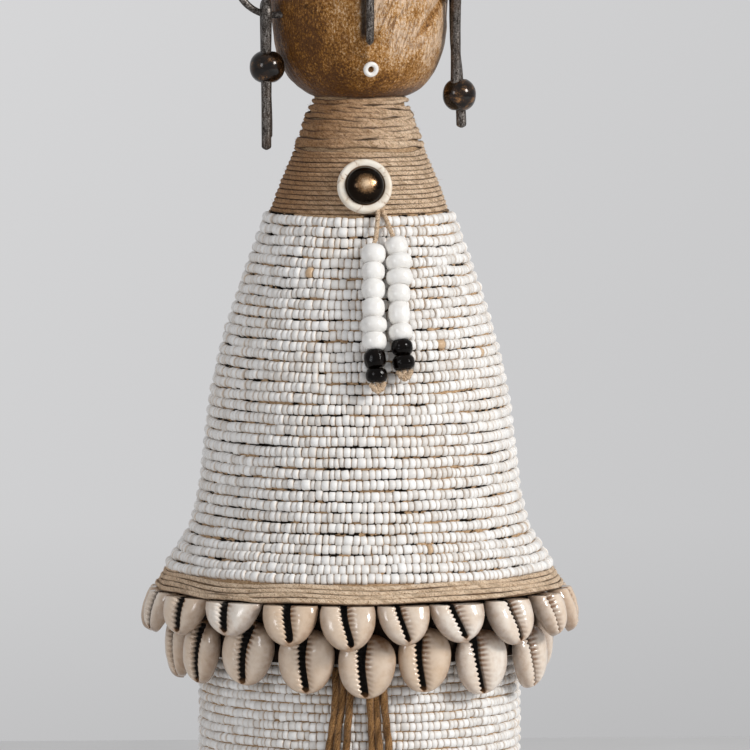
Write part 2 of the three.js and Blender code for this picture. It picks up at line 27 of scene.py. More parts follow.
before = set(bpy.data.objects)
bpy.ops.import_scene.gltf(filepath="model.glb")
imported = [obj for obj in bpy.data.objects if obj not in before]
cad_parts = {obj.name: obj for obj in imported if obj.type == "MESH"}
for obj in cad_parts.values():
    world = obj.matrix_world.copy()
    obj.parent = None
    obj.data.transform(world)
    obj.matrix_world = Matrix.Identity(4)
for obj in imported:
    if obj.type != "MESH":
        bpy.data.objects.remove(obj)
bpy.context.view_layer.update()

MM = 0.001
SEED = 41

# The photograph's frame: how large the doll shows in it, and where its axis and its ground line are
PHOTO_PIXELS = 750
PIXELS_PER_MM = 3.5
AXIS_PIXEL = 359.5
GROUND_PIXEL = 1000
CAMERA_DISTANCE = 3000
CAMERA_AZIMUTH = -3.2
CAMERA_ELEVATION = 4.5
SENSOR_WIDTH = 36

# Foot and skirt
FOOT_RADIUS = 45
FOOT_HEIGHT = 8
FOOT_ROUNDING = 1.2
SKIRT_RADIUS = 46
SKIRT_ROWS = 36
SKIRT_BEADED_TOP = 101.8

# Mantle: radius and height of its crest line from the neck to the hem
MANTLE_TOP = 225.8
MANTLE_BOTTOM = 124.5
MANTLE_SILHOUETTE = [
    (27, MANTLE_TOP), (34, 205.7), (39.4, 188.6), (43.1, 171.4),
    (45.9, 148.6), (48.3, 137.1), (51.6, 131.2), (55.9, MANTLE_BOTTOM),
]
MANTLE_ROWS = 35

# Twine on the neck, and the height where the neat turns end and the loose strands begin
NECK_TOP = 258.6
NECK_SILHOUETTE = [
    (25.6, MANTLE_TOP), (22.8, 233.6), (18.4, 244), (15.6, 251.6), (14, 255.5), (14, NECK_TOP),
]
NEAT_TOP = 243.2

# Twine at the hem, and the band behind it
HEM_RADIUS = 58.4
HEM_UPPER_RADIUS = 54.9
HEM_BOTTOM = 118.2
HEM_WIDEST = 119
HEM_TURNS = 4.3
HEM_TWINE_RADIUS = 0.78
BAND_INNER = 47
BAND_UPPER = 53
BAND_LOWER = 49.4
BAND_STEP = 113.2
BAND_BOTTOM = 100.6

# Cowry shells. Those in front are given by turn, width, turn of the slit side, place of the slit as a share
# of the half width, roll and height. What rises over the ceiling is cut off level under the hem.
SHELL_CEILING = 117.9
UPPER = {
    "name": "upper", "length": 17, "depth": 5.9, "browned_from": 0.62,
    "tilt": 24, "back": 56.2, "height": 113,
    "count": 20, "width": 14.8,
    "seen": [
        (-78.8, 13, -70.8, -0.1, -10, 113.9), (-60.9, 16.2, -50.9, -0.08, -9, 114.8),
        (-41.1, 17.2, -31.1, -0.25, -10, 116), (-23, 15.7, -14.1, -0.12, -3, 114.1),
        (-6.4, 15.7, -3.9, -0.15, 2, 113), (9.4, 14.7, 5.7, -0.26, 5, 114.5),
        (25.5, 15.8, 15.5, -0.26, 9, 114.8), (44.1, 15.2, 34.1, -0.13, 6, 113),
        (64, 12.5, 54, -0.38, 8, 113.6), (85, 14.4, 76, -0.1, 8, 112.8),
    ],
}
LOWER = {
    "name": "lower", "length": 18.6, "depth": 5.4, "browned_from": 0.42,
    "tilt": 2, "back": 50.4, "height": 100.8,
    "count": 19, "width": 14.2,
    "seen": [
        (-82, 14.4, -74, -0.1, -8, 102.4), (-62.2, 13.8, -54.2, -0.05, -15, 101.9),
        (-40.4, 16.1, -32.4, -0.12, -16, 103), (-20, 16, -12.2, -0.15, -4, 101.6),
        (-0.9, 16.2, -0.6, -0.22, -4, 100.4), (17.5, 15.2, 10.7, -0.27, -2, 101.9),
        (38.2, 16.8, 30.2, -0.3, 5, 100.3), (64.6, 15.6, 56.7, -0.32, 12, 100),
        (88.5, 13.6, 82, -0.1, 4, 103.4),
    ],
}
HIDDEN_SLIT = -0.15
HIDDEN_ROLL = 5
HIDDEN_DROP = 0.5

# Head
HEAD_WIDEST = 288
HEAD_CROWN = 326
HEAD_CHIN = 256.9
JAW_POWER = 3
HEAD_HALF_WIDTH = 25.1
FACE_DEPTH = 23
NAPE_DEPTH = 26
FACE_RIDGE = 1.8
FACE_RIDGE_REACH = 11
HEAD_TURN = 3
HAIR_RISE = 1.2
HAIRLINE_FRONT = 312
HAIRLINE_NAPE = 276
CREST_TOP = 338
CREST_THICKNESS = 6
CREST_FROM = 38
CREST_TO = 158
NOSE_TOP = 306
NOSE_BOTTOM = 274.3
NOSE_RADIUS = 1.15
RING_BEAD_RADIUS = 1.55
RING_BEAD_TUBE = 0.7
MOUTH_HEIGHT = 267.6
MOUTH_TURN = 1.4
MOUTH_UPRIGHT = 0.6
RING_BEAD_LIFT = 0.6
EYE_HEIGHT = 296
EYE_TURN = 24
FACE_GAP = 0.3

# Ear rings, hairpins and their beads
EAR_WIRE_RADIUS = 1
EAR_RING_RADIUS = 10.6
EAR_PLANE = -8
EAR_LEG = 5.5
PIN_WIRE_RADIUS = 1.45
PIN_BEND_RADIUS = 3.15
PIN_LEG_OFFSET = 1.62
PIN_CLOSED = 8
EAR_BEAD_MOUTH = 2.2
BEAD_SHIFT = 0.61
EARS = [
    {
        "side": "left", "sign": -1, "ring_x": -25.6, "ring_z": 292.6, "pin_x": -27.6,
        "front_end": 243.7, "back_end": 246.6, "lean": 0.6,
        "bead_z": 267.2, "bead_radius": 5, "bead_length": 8.7,
    },
    {
        "side": "right", "sign": 1, "ring_x": 24.9, "ring_z": 297.6, "pin_x": 26.5,
        "front_end": 256, "back_end": 249.5, "lean": 2,
        "bead_z": 259, "bead_radius": 4.75, "bead_length": 8.7,
    },
]

# Brooch
DISC_RADIUS = 7.85
DISC_THICKNESS = 3.1
DISC_RECESS = 5.6
DISC_FLOOR = 2.6
DOME_RADIUS = 5.52
DOME_HEIGHT = 4
BROOCH_HEIGHT = 233.7
BROOCH_LIFT = 14
BROOCH_TURN = 3
BROOCH_GAP = 0.95

# Pendants, as turn, height and distance from the silhouette below
PENDANT_ROUTES = {
    "left": [
        (8.4, 227.6, 1.2), (7.2, 225.6, 1.9), (5.3, 220.5, 3.4), (3.4, 216.1, 4.2),
        (2.5, 201.2, 4.5), (2.5, 187, 4.4), (3.5, 177.9, 4.3),
    ],
    "right": [
        (10.4, 227.8, 1.2), (11.9, 225.9, 1.9), (13.4, 221, 3.6), (14.6, 218.2, 4.2),
        (14.7, 211, 4.5), (12.8, 199, 4.5), (13.3, 181.2, 4.3),
    ],
}
CORD_RADIUS = 0.72
CORD_PLIES, CORD_PITCH, CORD_GROOVE = 2, 2.6, 0.25
KNOT_LENGTH = 2.2
KNOT_HALF_WIDTH = 2
KNOT_RADIUS = 1.1
KNOT_PLIES, KNOT_PITCH, KNOT_GROOVE = 2, 2.4, 0.3
BEAD_ENDS = 0.6
BEAD_POWER = 2.7

# The pendants' beads, black ones first, from the knot up, as width, length and tilt across the cord
PENDANT_BEADS = {
    "left": [
        (6.1, 4.1, -8), (6.3, 5.2, 4), (7.1, 4.95, 0), (7.6, 4.4, 1),
        (6.5, 5.4, 0), (6.8, 5.5, -2), (6.7, 4.95, 1), (7, 5.3, 0),
    ],
    "right": [
        (6.4, 4.3, 3), (6.1, 4.4, -5), (6.8, 4.5, 4), (6.2, 6.3, -1),
        (6.6, 5, 2), (7.7, 4.5, 5), (7.7, 4.55, 6), (6.4, 4.95, 8),
    ],
}
BLACK_BEADS = 2

# Tails, as x and height of each tail's middle strand
STRAND_RADIUS = 1.16
STRAND_PLIES, STRAND_PITCH, STRAND_GROOVE = 3, 19, 0.24
STRAND_SPREAD, STRAND_SWAY, STRAND_WAVES = 1.82, 0.34, 2.1
TAIL_GAP = 0.35
TAIL_TOP = 99.6
TAIL_BOTTOM = 15
TAIL_ROUTES = {
    "left": [(-7.2, TAIL_TOP), (-7.4, 90), (-8.9, 75), (-9.4, 55), (-8.7, 35), (-9.3, TAIL_BOTTOM)],
    "right": [(2.2, TAIL_TOP), (2.3, 90), (3.3, 75), (4.1, 55), (3.6, 35), (4.4, TAIL_BOTTOM)],
}


# Arithmetic on arrays of points

def unit(vectors):
    """Each vector divided by its own length."""
    return vectors / np.linalg.norm(vectors, axis=-1, keepdims=True)


def smooth(value, low, high):
    """Nought below low, one above high, and an S curve 3t^2 - 2t^3 between them."""
    share = np.clip((value - low) / (high - low), 0, 1)
    return share * share * (3 - 2 * share)


def around(turn, radius, height):
    """The point at that turn in degrees, distance from the axis, and height: (r sin, -r cos, z)."""
    angle = np.radians(turn)
    return np.stack(np.broadcast_arrays(radius * np.sin(angle), -radius * np.cos(angle), height), axis=-1)


def turned_about_z(points, turn):
    """The points after a turn round Z by that many degrees."""
    c, s = np.cos(np.radians(turn)), np.sin(np.radians(turn))
    return points @ np.array([[c, s, 0], [-s, c, 0], [0, 0, 1]])


def lengths_to(curve):
    """The length of the curve up to each of its points: the running sum of its steps."""
    return np.concatenate([[0], np.cumsum(np.linalg.norm(np.diff(curve, axis=0), axis=1))])


def even(curve, count):
    """The curve's points again at even steps of its length."""
    reached = lengths_to(curve)
    places = np.linspace(0, reached[-1], count)
    return np.stack([np.interp(places, reached, column) for column in curve.T], axis=-1)


def spline(knots, count=400):
    """The Catmull-Rom curve through the knots, its ends doubled, at even steps of its length."""
    knots = np.array(knots, float)
    padded = np.vstack([knots[:1], knots, knots[-1:]])
    place = np.linspace(0, len(knots) - 1, 2000)
    first = np.minimum(place.astype(int), len(knots) - 2)
    t = (place - first)[:, None]
    before, start, stop, after = (padded[first + shift] for shift in range(4))
    straight = (stop - before) * t
    bent = (2 * before - 5 * start + 4 * stop - after) * t**2
    twisted = (3 * start - before - 3 * stop + after) * t**3
    return even((2 * start + straight + bent + twisted) / 2, count)


def length_of(curve):
    """The sum of the distances between a curve's points."""
    return float(np.linalg.norm(np.diff(curve, axis=0), axis=1).sum())


def wobble(place, dice, slow=1, fast=8):
    """Six sine waves of whole speeds between slow and fast, with chance phases, together about -1 to 1.
    Place is in degrees, so the waves close round a full turn."""
    speeds = dice.integers(slow, fast + 1, 6)
    phases = dice.uniform(0, 2 * np.pi, 6)
    waves = np.sin(np.radians(place)[..., None] * speeds + phases)
    return waves.sum(axis=-1) / 3


def lumps(points, dice, size):
    """Fourteen plane waves in chance directions, each about size millimetres long, together -1 to 1."""
    count = 14
    directions = unit(dice.normal(size=(count, 3))) * 2 * np.pi / size
    directions *= dice.uniform(0.6, 1.5, (count, 1))
    phases = dice.uniform(0, 2 * np.pi, count)
    return np.sin(points @ directions.T + phases).sum(axis=-1) / np.sqrt(count * 2)


# Meshes from arrays

def skin(rings, closed=False):
    """Points and triangles over rings of points, counter-clockwise seen from where the rings go.
    Each end is closed by a fan round the ring's middle, unless the last ring joins the first."""
    stations, sides, _ = rings.shape
    station = np.arange(stations if closed else stations - 1)[:, None]
    side = np.arange(sides)[None, :]
    here, following = station * sides, ((station + 1) % stations) * sides
    beside = (side + 1) % sides
    a, b, c, d = here + side, here + beside, following + beside, following + side
    quads = np.stack([a, b, c, a, c, d], axis=-1).reshape(-1, 3)
    points = rings.reshape(-1, 3)
    if closed:
        return points, quads
    ring = np.arange(sides)
    onward = (ring + 1) % sides
    last = (stations - 1) * sides
    start, stop = len(points), len(points) + 1
    start_fan = np.stack([np.full(sides, start), onward, ring], axis=-1)
    stop_fan = np.stack([np.full(sides, stop), last + ring, last + onward], axis=-1)
    middles = np.stack([rings[0].mean(axis=0), rings[-1].mean(axis=0)])
    return np.vstack([points, middles]), np.vstack([quads, start_fan, stop_fan])


def joined(parts):
    """Several pairs of points and triangles as one pair."""
    points, triangles, reached = [], [], 0
    for part_points, part_triangles in parts:
        points.append(part_points)
        triangles.append(part_triangles + reached)
        reached += len(part_points)
    return np.vstack(points), np.vstack(triangles)


def copies(shape, triangles, count):
    """The triangles of count copies of a shape whose points follow each other."""
    return (triangles[None] + (np.arange(count) * shape)[:, None, None]).reshape(-1, 3)


def lathe(outline, sides):
    """A solid turned round Z from an outline of radius and height that runs upwards."""
    outline = np.array(outline, float)
    turn = np.arange(sides) * 360 / sides
    return around(turn[None, :], outline[:, :1], outline[:, 1:])


def tube(path, outward, radius, sides):
    """Rings round a path: path + radius (cos a out + sin a across), where out is the outward direction
    squared to the path, and across is along x out. The radius may differ by station and side."""
    along = unit(np.gradient(path, axis=0))
    out = unit(outward - (outward * along).sum(axis=-1, keepdims=True) * along)
    across = np.cross(along, out)
    angle = np.arange(sides) * 2 * np.pi / sides
    radius = np.broadcast_to(radius, (len(path), sides))[..., None]
    spokes = np.cos(angle)[:, None] * out[:, None] + np.sin(angle)[:, None] * across[:, None]
    return path[:, None] + radius * spokes


def plied(path, radius, sides, plies, pitch, groove):
    """Radius of a twisted cord at each station and side: it is full on each ply and less by the groove's
    share between two plies, R (1 - g (1 - |cos(n (a - 2 pi s / pitch) / 2)|))."""
    reached = lengths_to(path)
    angle = np.arange(sides) * 2 * np.pi / sides
    turned = angle[None, :] - 2 * np.pi * reached[:, None] / pitch
    crest = np.abs(np.cos(plies * turned / 2))
    return np.broadcast_to(radius, len(path))[:, None] * (1 - groove * (1 - crest))


def piece(name, shape, material, replaces, values=None):
    """A smooth mesh from points in millimetres and triangles, with its point attributes. It rides on the
    doll's one body, and stands for the nodes it replaces."""
    points, triangles = shape
    mesh = bpy.data.meshes.new(name)
    mesh.vertices.add(len(points))
    mesh.vertices.foreach_set("co", (points * MM).astype(np.float32).ravel())
    mesh.loops.add(triangles.size)
    mesh.loops.foreach_set("vertex_index", triangles.astype(np.int32).ravel())
    mesh.polygons.add(len(triangles))
    mesh.polygons.foreach_set("loop_start", np.arange(0, triangles.size, 3, dtype=np.int32))
    mesh.polygons.foreach_set("use_smooth", np.ones(len(triangles), bool))
    for key, value in (values or {}).items():
        value = np.asarray(value, np.float32)
        if value.ndim == 1:
            mesh.attributes.new(key, "FLOAT", "POINT").data.foreach_set("value", value)
        else:
            mesh.attributes.new(key, "FLOAT_VECTOR", "POINT").data.foreach_set("vector", value.ravel())
    mesh.update(calc_edges=True)
    mesh.materials.append(material)
    made = bpy.data.objects.new(name, mesh)
    bpy.context.scene.collection.objects.link(made)
    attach(made, "root")
    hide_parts(*replaces)
    return made


# Materials

SCRATCHES = (8.5, -21, 281)
# Height about which the twine's painted side shade shifts: more shade above it, less below.
SHADE_HEIGHT = 236


def shader_node(tree, kind, inputs, settings):
    """A node with its settings, its inputs set to values or linked from sockets."""
    made = tree.nodes.new("ShaderNode" + kind)
    for key, value in settings.items():
        setattr(made, key, value)
    for key, value in inputs.items():
        if isinstance(value, bpy.types.NodeSocket):
            tree.links.new(value, made.inputs[key])
        else:
            made.inputs[key].default_value = value
    return made


class Finish:
    """A material with one Principled shader, whose nodes are put in one by one."""

    def __init__(self, name, **sockets):
        self.material = bpy.data.materials.new(name)
        self.material.use_nodes = True
        self.tree = self.material.node_tree
        self.shader = self.tree.nodes["Principled BSDF"]
        for key, value in sockets.items():
            self.shader.inputs[key.replace("_", " ").title().replace("Ior", "IOR")].default_value = value

    def put(self, kind, inputs=None, **settings):
        """A node of this material."""
        return shader_node(self.tree, kind, inputs or {}, settings)

    def feed(self, socket, value):
        """Links a value to one of the shader's sockets."""
        self.tree.links.new(value, self.shader.inputs[socket])

    def place(self, stretch=(1, 1, 1)):
        """Object coordinates, each direction multiplied by its stretch."""
        where = self.put("TexCoord").outputs["Object"]
        return self.put("Mapping", {"Vector": where, "Scale": stretch}).outputs["Vector"]

    def attribute(self, name, output="Fac"):
        """A value that the mesh carries on its points."""
        return self.put("Attribute", attribute_name=name).outputs[output]

    def noise(self, where, size, detail=3, roughness=0.5):
        """Noise whose lumps are about size millimetres, when the place is in metres."""
        inputs = {"Vector": where, "Scale": 1 / (size * MM), "Detail": detail, "Roughness": roughness}
        return self.put("TexNoise", inputs).outputs["Fac"]

    def ramp(self, value, *stops):
        """Colours or greys at shares of a value, with straight lines between them."""
        made = self.put("ValToRGB", {"Fac": value})
        stops = [(share, (c, c, c, 1) if isinstance(c, (int, float)) else (*c, 1)) for share, c in stops]
        elements = made.color_ramp.elements
        while len(elements) < len(stops):
            elements.new(0.5)
        for element, (share, colour) in zip(elements, stops):
            element.position = share
            element.color = colour
        return made.outputs["Color"]

    def mix(self, share, first, second, blend="MIX"):
        """One colour over another by a share."""
        first, second = ((*value, 1) if isinstance(value, tuple) else value for value in (first, second))
        inputs = {0: share, 6: first, 7: second}
        return self.put("Mix", inputs, data_type="RGBA", blend_type=blend).outputs[2]

    def sums(self, operation, first, second):
        """Arithmetic on two values."""
        return self.put("Math", {0: first, 1: second}, operation=operation).outputs[0]

    def swing(self, value, weight):
        """A value between nought and one as a change either way: weight (value - 1/2)."""
        return self.sums("MULTIPLY", self.sums("SUBTRACT", value, 0.5), weight)

    def bump(self, height, depth, under=None):
        """A normal from a height between nought and one, depth millimetres deep."""
        inputs = {"Height": height, "Distance": depth * MM, "Strength": 1.0}
        if under is not None:
            inputs["Normal"] = under
        return self.put("Bump", inputs).outputs["Normal"]


def seed_bead_finish():
    """Chalky white glass, from warm grey to clear white by each bead's tone, with faint stains, and brown
    painted shade in the seams between beads and rows."""
    finish = Finish("seed_bead_glass", roughness=0.36, specular_ior_level=0.45)
    where = finish.place()
    stain = finish.noise(where, 14, 3)
    glass = finish.ramp(
        finish.attribute("tone"), (0.0, (0.60, 0.42, 0.26)), (0.05, (0.70, 0.67, 0.635)),
        (0.5, (0.85, 0.835, 0.815)), (1.0, (0.93, 0.922, 0.908)),
    )
    warm = finish.mix(finish.ramp(stain, (0.5, 0.0), (0.8, 0.3)), glass, (0.74, 0.67, 0.58))
    # Painted shade: brown on the bead ends and inner sides, where the seams between beads and rows lie in
    # shade.
    seam_shade = finish.sums("MULTIPLY", finish.attribute("seam_shade"), finish.ramp(stain, (0.3, 0.4), (0.6, 0.85)))
    finish.feed("Base Color", finish.mix(seam_shade, warm, (0.56, 0.41, 0.27)))
    pores = finish.noise(where, 0.5, 2)
    finish.feed("Roughness", finish.ramp(pores, (0.3, 0.28), (0.7, 0.5)))
    finish.feed("Normal", finish.bump(pores, 0.03))
    return finish.material


def thread_bed_finish(name, dark_share):
    """Thread and shade between the rows: tan thread broken by near black patches."""
    finish = Finish(name, roughness=0.95, specular_ior_level=0.1)
    spread = finish.noise(finish.place((1, 1, 2.4)), 14, 2, 0.6)
    dots = finish.noise(finish.place((1, 1, 1.4)), 2.6, 2, 0.6)
    patches = finish.sums("ADD", finish.sums("MULTIPLY", spread, 0.45), finish.sums("MULTIPLY", dots, 0.55))
    fine = finish.noise(finish.place((1, 1, 3)), 0.7, 2)
    tan = finish.ramp(fine, (0.3, (0.26, 0.15, 0.07)), (0.7, (0.62, 0.44, 0.28)))
    share = finish.ramp(patches, (dark_share - 0.02, 1.0), (dark_share + 0.02, 0.0))
    finish.feed("Base Color", finish.mix(share, tan, (0.010, 0.006, 0.004)))
    finish.feed("Normal", finish.bump(fine, 0.15))
    return finish.material


def twine_finish(name, light, mid, dark, shaded, run=0.09):
    """Jute: fibres that run along each ply, tan tones that change along the strand, a rough nap, painted
    shade in the grooves where two turns meet, light specks painted as highlights on loose fibres, and painted
    shade towards one side and upwards. The run is how short the fibres are along the strand."""
    finish = Finish(name, roughness=0.92, specular_ior_level=0.12, sheen_weight=0.15, sheen_roughness=0.5)
    lay = finish.attribute("lay", "Vector")
    stretched = finish.put("Mapping", {"Vector": lay, "Scale": (run, 1, 1)}).outputs["Vector"]
    fine = {"Vector": stretched, "Scale": 2.8, "Detail": 6, "Roughness": 0.95}
    fibre = finish.put("TexNoise", fine).outputs["Fac"]
    drawn = finish.put("Mapping", {"Vector": lay, "Scale": (0.09, 0.25, 0.6)}).outputs["Vector"]
    broad = {"Vector": drawn, "Scale": 1.0, "Detail": 3, "Roughness": 0.6}
    length = finish.put("TexNoise", broad).outputs["Fac"]
    where = finish.place()
    speck = finish.noise(where, 0.5, 2, 0.7)
    colour = finish.ramp(fibre, (0.38, dark), (0.47, mid), (0.58, light))
    dull, shade_brown = tuple(0.6 * value for value in mid), tuple(0.5 * value for value in dark)
    colour = finish.mix(finish.ramp(length, (0.36, 0.7), (0.5, 0.0)), colour, dull)
    colour = finish.mix(finish.ramp(length, (0.52, 0.0), (0.66, 0.45)), colour, light)
    colour = finish.mix(finish.ramp(speck, (0.35, 0.75), (0.45, 0.0)), colour, dark)
    # Light specks: painted highlights on loose fibres.
    colour = finish.mix(finish.ramp(speck, (0.57, 0.0), (0.68, 0.5)), colour, light)
    # Painted shade: darker towards each strand's foot, where two turns meet.
    foot_shade = finish.sums("ADD", finish.attribute("rim"), finish.swing(fibre, 0.8))
    colour = finish.mix(finish.ramp(foot_shade, (0.18, 0.0), (0.42, 0.85)), colour, shade_brown)
    # Painted shade: the colour is multiplied by the shaded tint towards -X, more so higher up the neck.
    axes = finish.put("SeparateXYZ", {0: where}).outputs
    above = finish.sums("SUBTRACT", axes[2], SHADE_HEIGHT * MM)
    side = finish.sums("SUBTRACT", axes[0], finish.sums("MULTIPLY", above, 0.45))
    reach = finish.put("MapRange", {0: side, 1: -18 * MM, 2: 6 * MM}).outputs[0]
    painted_shade = finish.ramp(reach, (0.0, shaded), (1.0, (1.0, 1.0, 1.0)))
    finish.feed("Base Color", finish.mix(1.0, colour, painted_shade, "MULTIPLY"))
    finish.feed("Normal", finish.bump(fibre, 0.4, under=finish.bump(speck, 0.25)))
    return finish.material


def head_wood_finish():
    """Oiled golden wood: dark brown where the patina is thick and where shade is painted, pale gold where it
    is rubbed away, with short grain lines, a fine stipple, small dark pits, slanting scratches beside the
    nose, a near black painted shadow beside the nose rod and painted shade in the small hole."""
    finish = Finish("head_wood", specular_ior_level=0.2, sheen_weight=0.13, sheen_roughness=0.35)
    where = finish.place()
    grain = finish.noise(finish.place((1, 1, 0.32)), 0.8, 5, 0.68)
    stipple = finish.noise(finish.place((1, 1, 0.7)), 0.6, 2, 0.9)
    blotch = finish.noise(where, 5, 4, 0.6)
    pits = finish.noise(finish.place((1, 1, 0.6)), 0.75, 2, 0.6)
    slant = finish.put("Mapping", {"Vector": where, "Rotation": (0, np.radians(-20), 0)}).outputs["Vector"]
    drawn = finish.put("Mapping", {"Vector": slant, "Scale": (1, 0.5, 0.1)}).outputs["Vector"]
    scratch = finish.noise(drawn, 0.75, 2, 0.5)
    centre = tuple(MM * value for value in SCRATCHES)
    away = finish.put("VectorMath", {0: where, 1: centre}, operation="DISTANCE")
    beside = finish.ramp(away.outputs["Value"], (3.5 * MM, 1.0), (11 * MM, 0.12))
    uneven = finish.sums("ADD", finish.swing(blotch, 0.8), finish.swing(stipple, 2.4))
    # The attribute holds patina and painted shade: the shaded left side, under the chin and the cheek groove.
    thick = finish.sums("ADD", finish.attribute("patina_and_shade"), uneven)
    wood = finish.ramp(
        thick, (0.0, (0.68, 0.50, 0.35)), (0.3, (0.49, 0.275, 0.105)), (0.6, (0.28, 0.115, 0.014)),
        (0.95, (0.075, 0.026, 0.003)),
    )
    veined = finish.mix(finish.ramp(grain, (0.36, 0.6), (0.56, 0.0)), wood, (0.13, 0.052, 0.014))
    cut = finish.sums("MULTIPLY", finish.ramp(scratch, (0.36, 1.0), (0.46, 0.0)), beside)
    scratched = finish.mix(finish.sums("MULTIPLY", cut, 0.75), veined, (0.16, 0.07, 0.024))
    pitted = finish.mix(finish.ramp(pits, (0.26, 0.9), (0.35, 0.0)), scratched, (0.04, 0.018, 0.007))
    # Near black painted shadow beside the nose rod and painted shade in the small hole.
    finish.feed("Base Color", finish.mix(finish.attribute("painted_shade"), pitted, (0.010, 0.006, 0.004)))
    finish.feed("Roughness", finish.ramp(blotch, (0.3, 0.38), (0.7, 0.54)))
    grooves = finish.bump(finish.sums("SUBTRACT", 1.0, cut), 0.22)
    veins = finish.bump(grain, 0.16, under=finish.bump(pits, 0.16, under=grooves))
    finish.feed("Normal", finish.bump(stipple, 0.1, under=veins))
    return finish.material


def foot_wood_finish():
    """Plain dark stained wood with turning marks."""
    finish = Finish("foot_wood", roughness=0.55, specular_ior_level=0.35)
    grain = finish.noise(finish.place((1, 0.12, 1)), 1.6, 4, 0.6)
    colour = finish.ramp(grain, (0.3, (0.055, 0.026, 0.012)), (0.7, (0.17, 0.085, 0.04)))
    finish.feed("Base Color", colour)
    finish.feed("Normal", finish.bump(grain, 0.12))
    return finish.material


def band_finish():
    """Near black painted shade for the band behind the shells, with creases and a dusty nap."""
    finish = Finish("dark_band", roughness=0.85, specular_ior_level=0.12)
    crease = finish.put("TexVoronoi", {"Vector": finish.place(), "Scale": 700.0}).outputs["Distance"]
    dust = finish.noise(finish.place(), 3, 4)
    finish.feed("Base Color", finish.ramp(dust, (0.4, (0.010, 0.006, 0.004)), (0.8, (0.045, 0.026, 0.015))))
    finish.feed("Normal", finish.bump(crease, 0.2))
    return finish.material


def cowry_finish():
    """Glazed cream shell with a peach flush, painted shade in tan towards its edges and between its ribs,
    browner at the upper end, orange brown where the slit ends and painted shade in black inside it. The
    attribute holds the painted shade with the browning, the slit's depth and its ends."""
    finish = Finish("cowry_glaze", specular_ior_level=0.75)
    parts = finish.put("SeparateXYZ", {0: finish.attribute("shell", "Vector")}).outputs
    flush = finish.noise(finish.place(), 7, 3)
    fine = finish.noise(finish.place(), 1.8, 3, 0.6)
    tone = finish.attribute("tone")
    cream = finish.mix(tone, (0.69, 0.54, 0.405), (0.83, 0.76, 0.68))
    body = finish.mix(finish.ramp(flush, (0.42, 0.0), (0.72, 0.5)), cream, (0.66, 0.47, 0.31))
    body = finish.mix(finish.ramp(fine, (0.3, 0.24), (0.56, 0.0)), body, (0.50, 0.32, 0.18))
    # Painted shade towards the edges and between the ribs, with the browning at the upper end.
    darkening = finish.sums("MULTIPLY", parts[0], finish.ramp(fine, (0.3, 1.0), (0.7, 0.7)))
    shaded_and_browned = finish.mix(finish.ramp(darkening, (0.0, 0.0), (0.35, 0.5), (0.8, 0.92)), body, (0.19, 0.088, 0.035))
    # Painted shade: near black deep in the slit.
    inside = finish.ramp(parts[1], (0.1, 0.0), (0.4, 1.0))
    deep = finish.mix(parts[2], (0.008, 0.005, 0.003), (0.26, 0.13, 0.05))
    ends = finish.mix(finish.sums("MULTIPLY", parts[2], 0.6), shaded_and_browned, (0.40, 0.20, 0.08))
    finish.feed("Base Color", finish.mix(inside, ends, deep))
    gloss = finish.ramp(fine, (0.3, 0.1), (0.7, 0.2))
    finish.feed("Roughness", finish.mix(inside, gloss, (0.95, 0.95, 0.95)))
    finish.feed("Normal", finish.bump(fine, 0.04))
    return finish.material


def bone_finish():
    """Old bone: warm white, brown in its fine cracks and where the ring meets the dome."""
    finish = Finish("old_bone", roughness=0.4, specular_ior_level=0.45)
    crack = finish.attribute("crack")
    cloud = finish.noise(finish.place(), 3.5, 3)
    bone = finish.ramp(cloud, (0.3, (0.72, 0.62, 0.49)), (0.6, (0.86, 0.80, 0.70)))
    finish.feed("Base Color", finish.mix(crack, bone, (0.33, 0.155, 0.055)))
    finish.feed("Normal", finish.bump(cloud, 0.08))
    return finish.material


def bronze_finish():
    """A dark bronze dome with a painted golden highlight in its middle, and a fine grain."""
    finish = Finish("stud_bronze", metallic=0.9)
    middle_highlight = finish.attribute("middle_highlight")
    grain = finish.noise(finish.place(), 0.35, 2, 0.7)
    # Painted highlight: the colour runs from dark bronze at the rim to gold in the middle.
    edge = finish.sums("ADD", middle_highlight, finish.swing(grain, 0.9))
    finish.feed("Base Color", finish.ramp(
        edge, (0.15, (0.012, 0.007, 0.004)), (0.45, (0.34, 0.19, 0.09)), (0.85, (0.92, 0.68, 0.44)),
    ))
    finish.feed("Roughness", finish.ramp(middle_highlight, (0.15, 0.14), (0.8, 0.42)))
    finish.feed("Normal", finish.bump(grain, 0.02))
    return finish.material


def ear_bead_finish():
    """Smooth dark lacquered bronze, a little cloudy, with a fine golden grain."""
    finish = Finish(
        "ear_bead_bronze", metallic=0.25, specular_ior_level=0.2, coat_weight=0.45, coat_roughness=0.06,
    )
    cloud = finish.noise(finish.place(), 2.6, 3, 0.6)
    grain = finish.noise(finish.place(), 0.35, 2, 0.7)
    mottled = finish.sums("ADD", cloud, finish.swing(grain, 0.35))
    finish.feed("Base Color", finish.ramp(
        mottled, (0.42, (0.005, 0.003, 0.002)), (0.58, (0.028, 0.013, 0.005)), (0.78, (0.30, 0.15, 0.055)),
    ))
    finish.feed("Roughness", finish.ramp(cloud, (0.4, 0.14), (0.7, 0.3)))
    finish.feed("Normal", finish.bump(cloud, 0.04))
    return finish.material


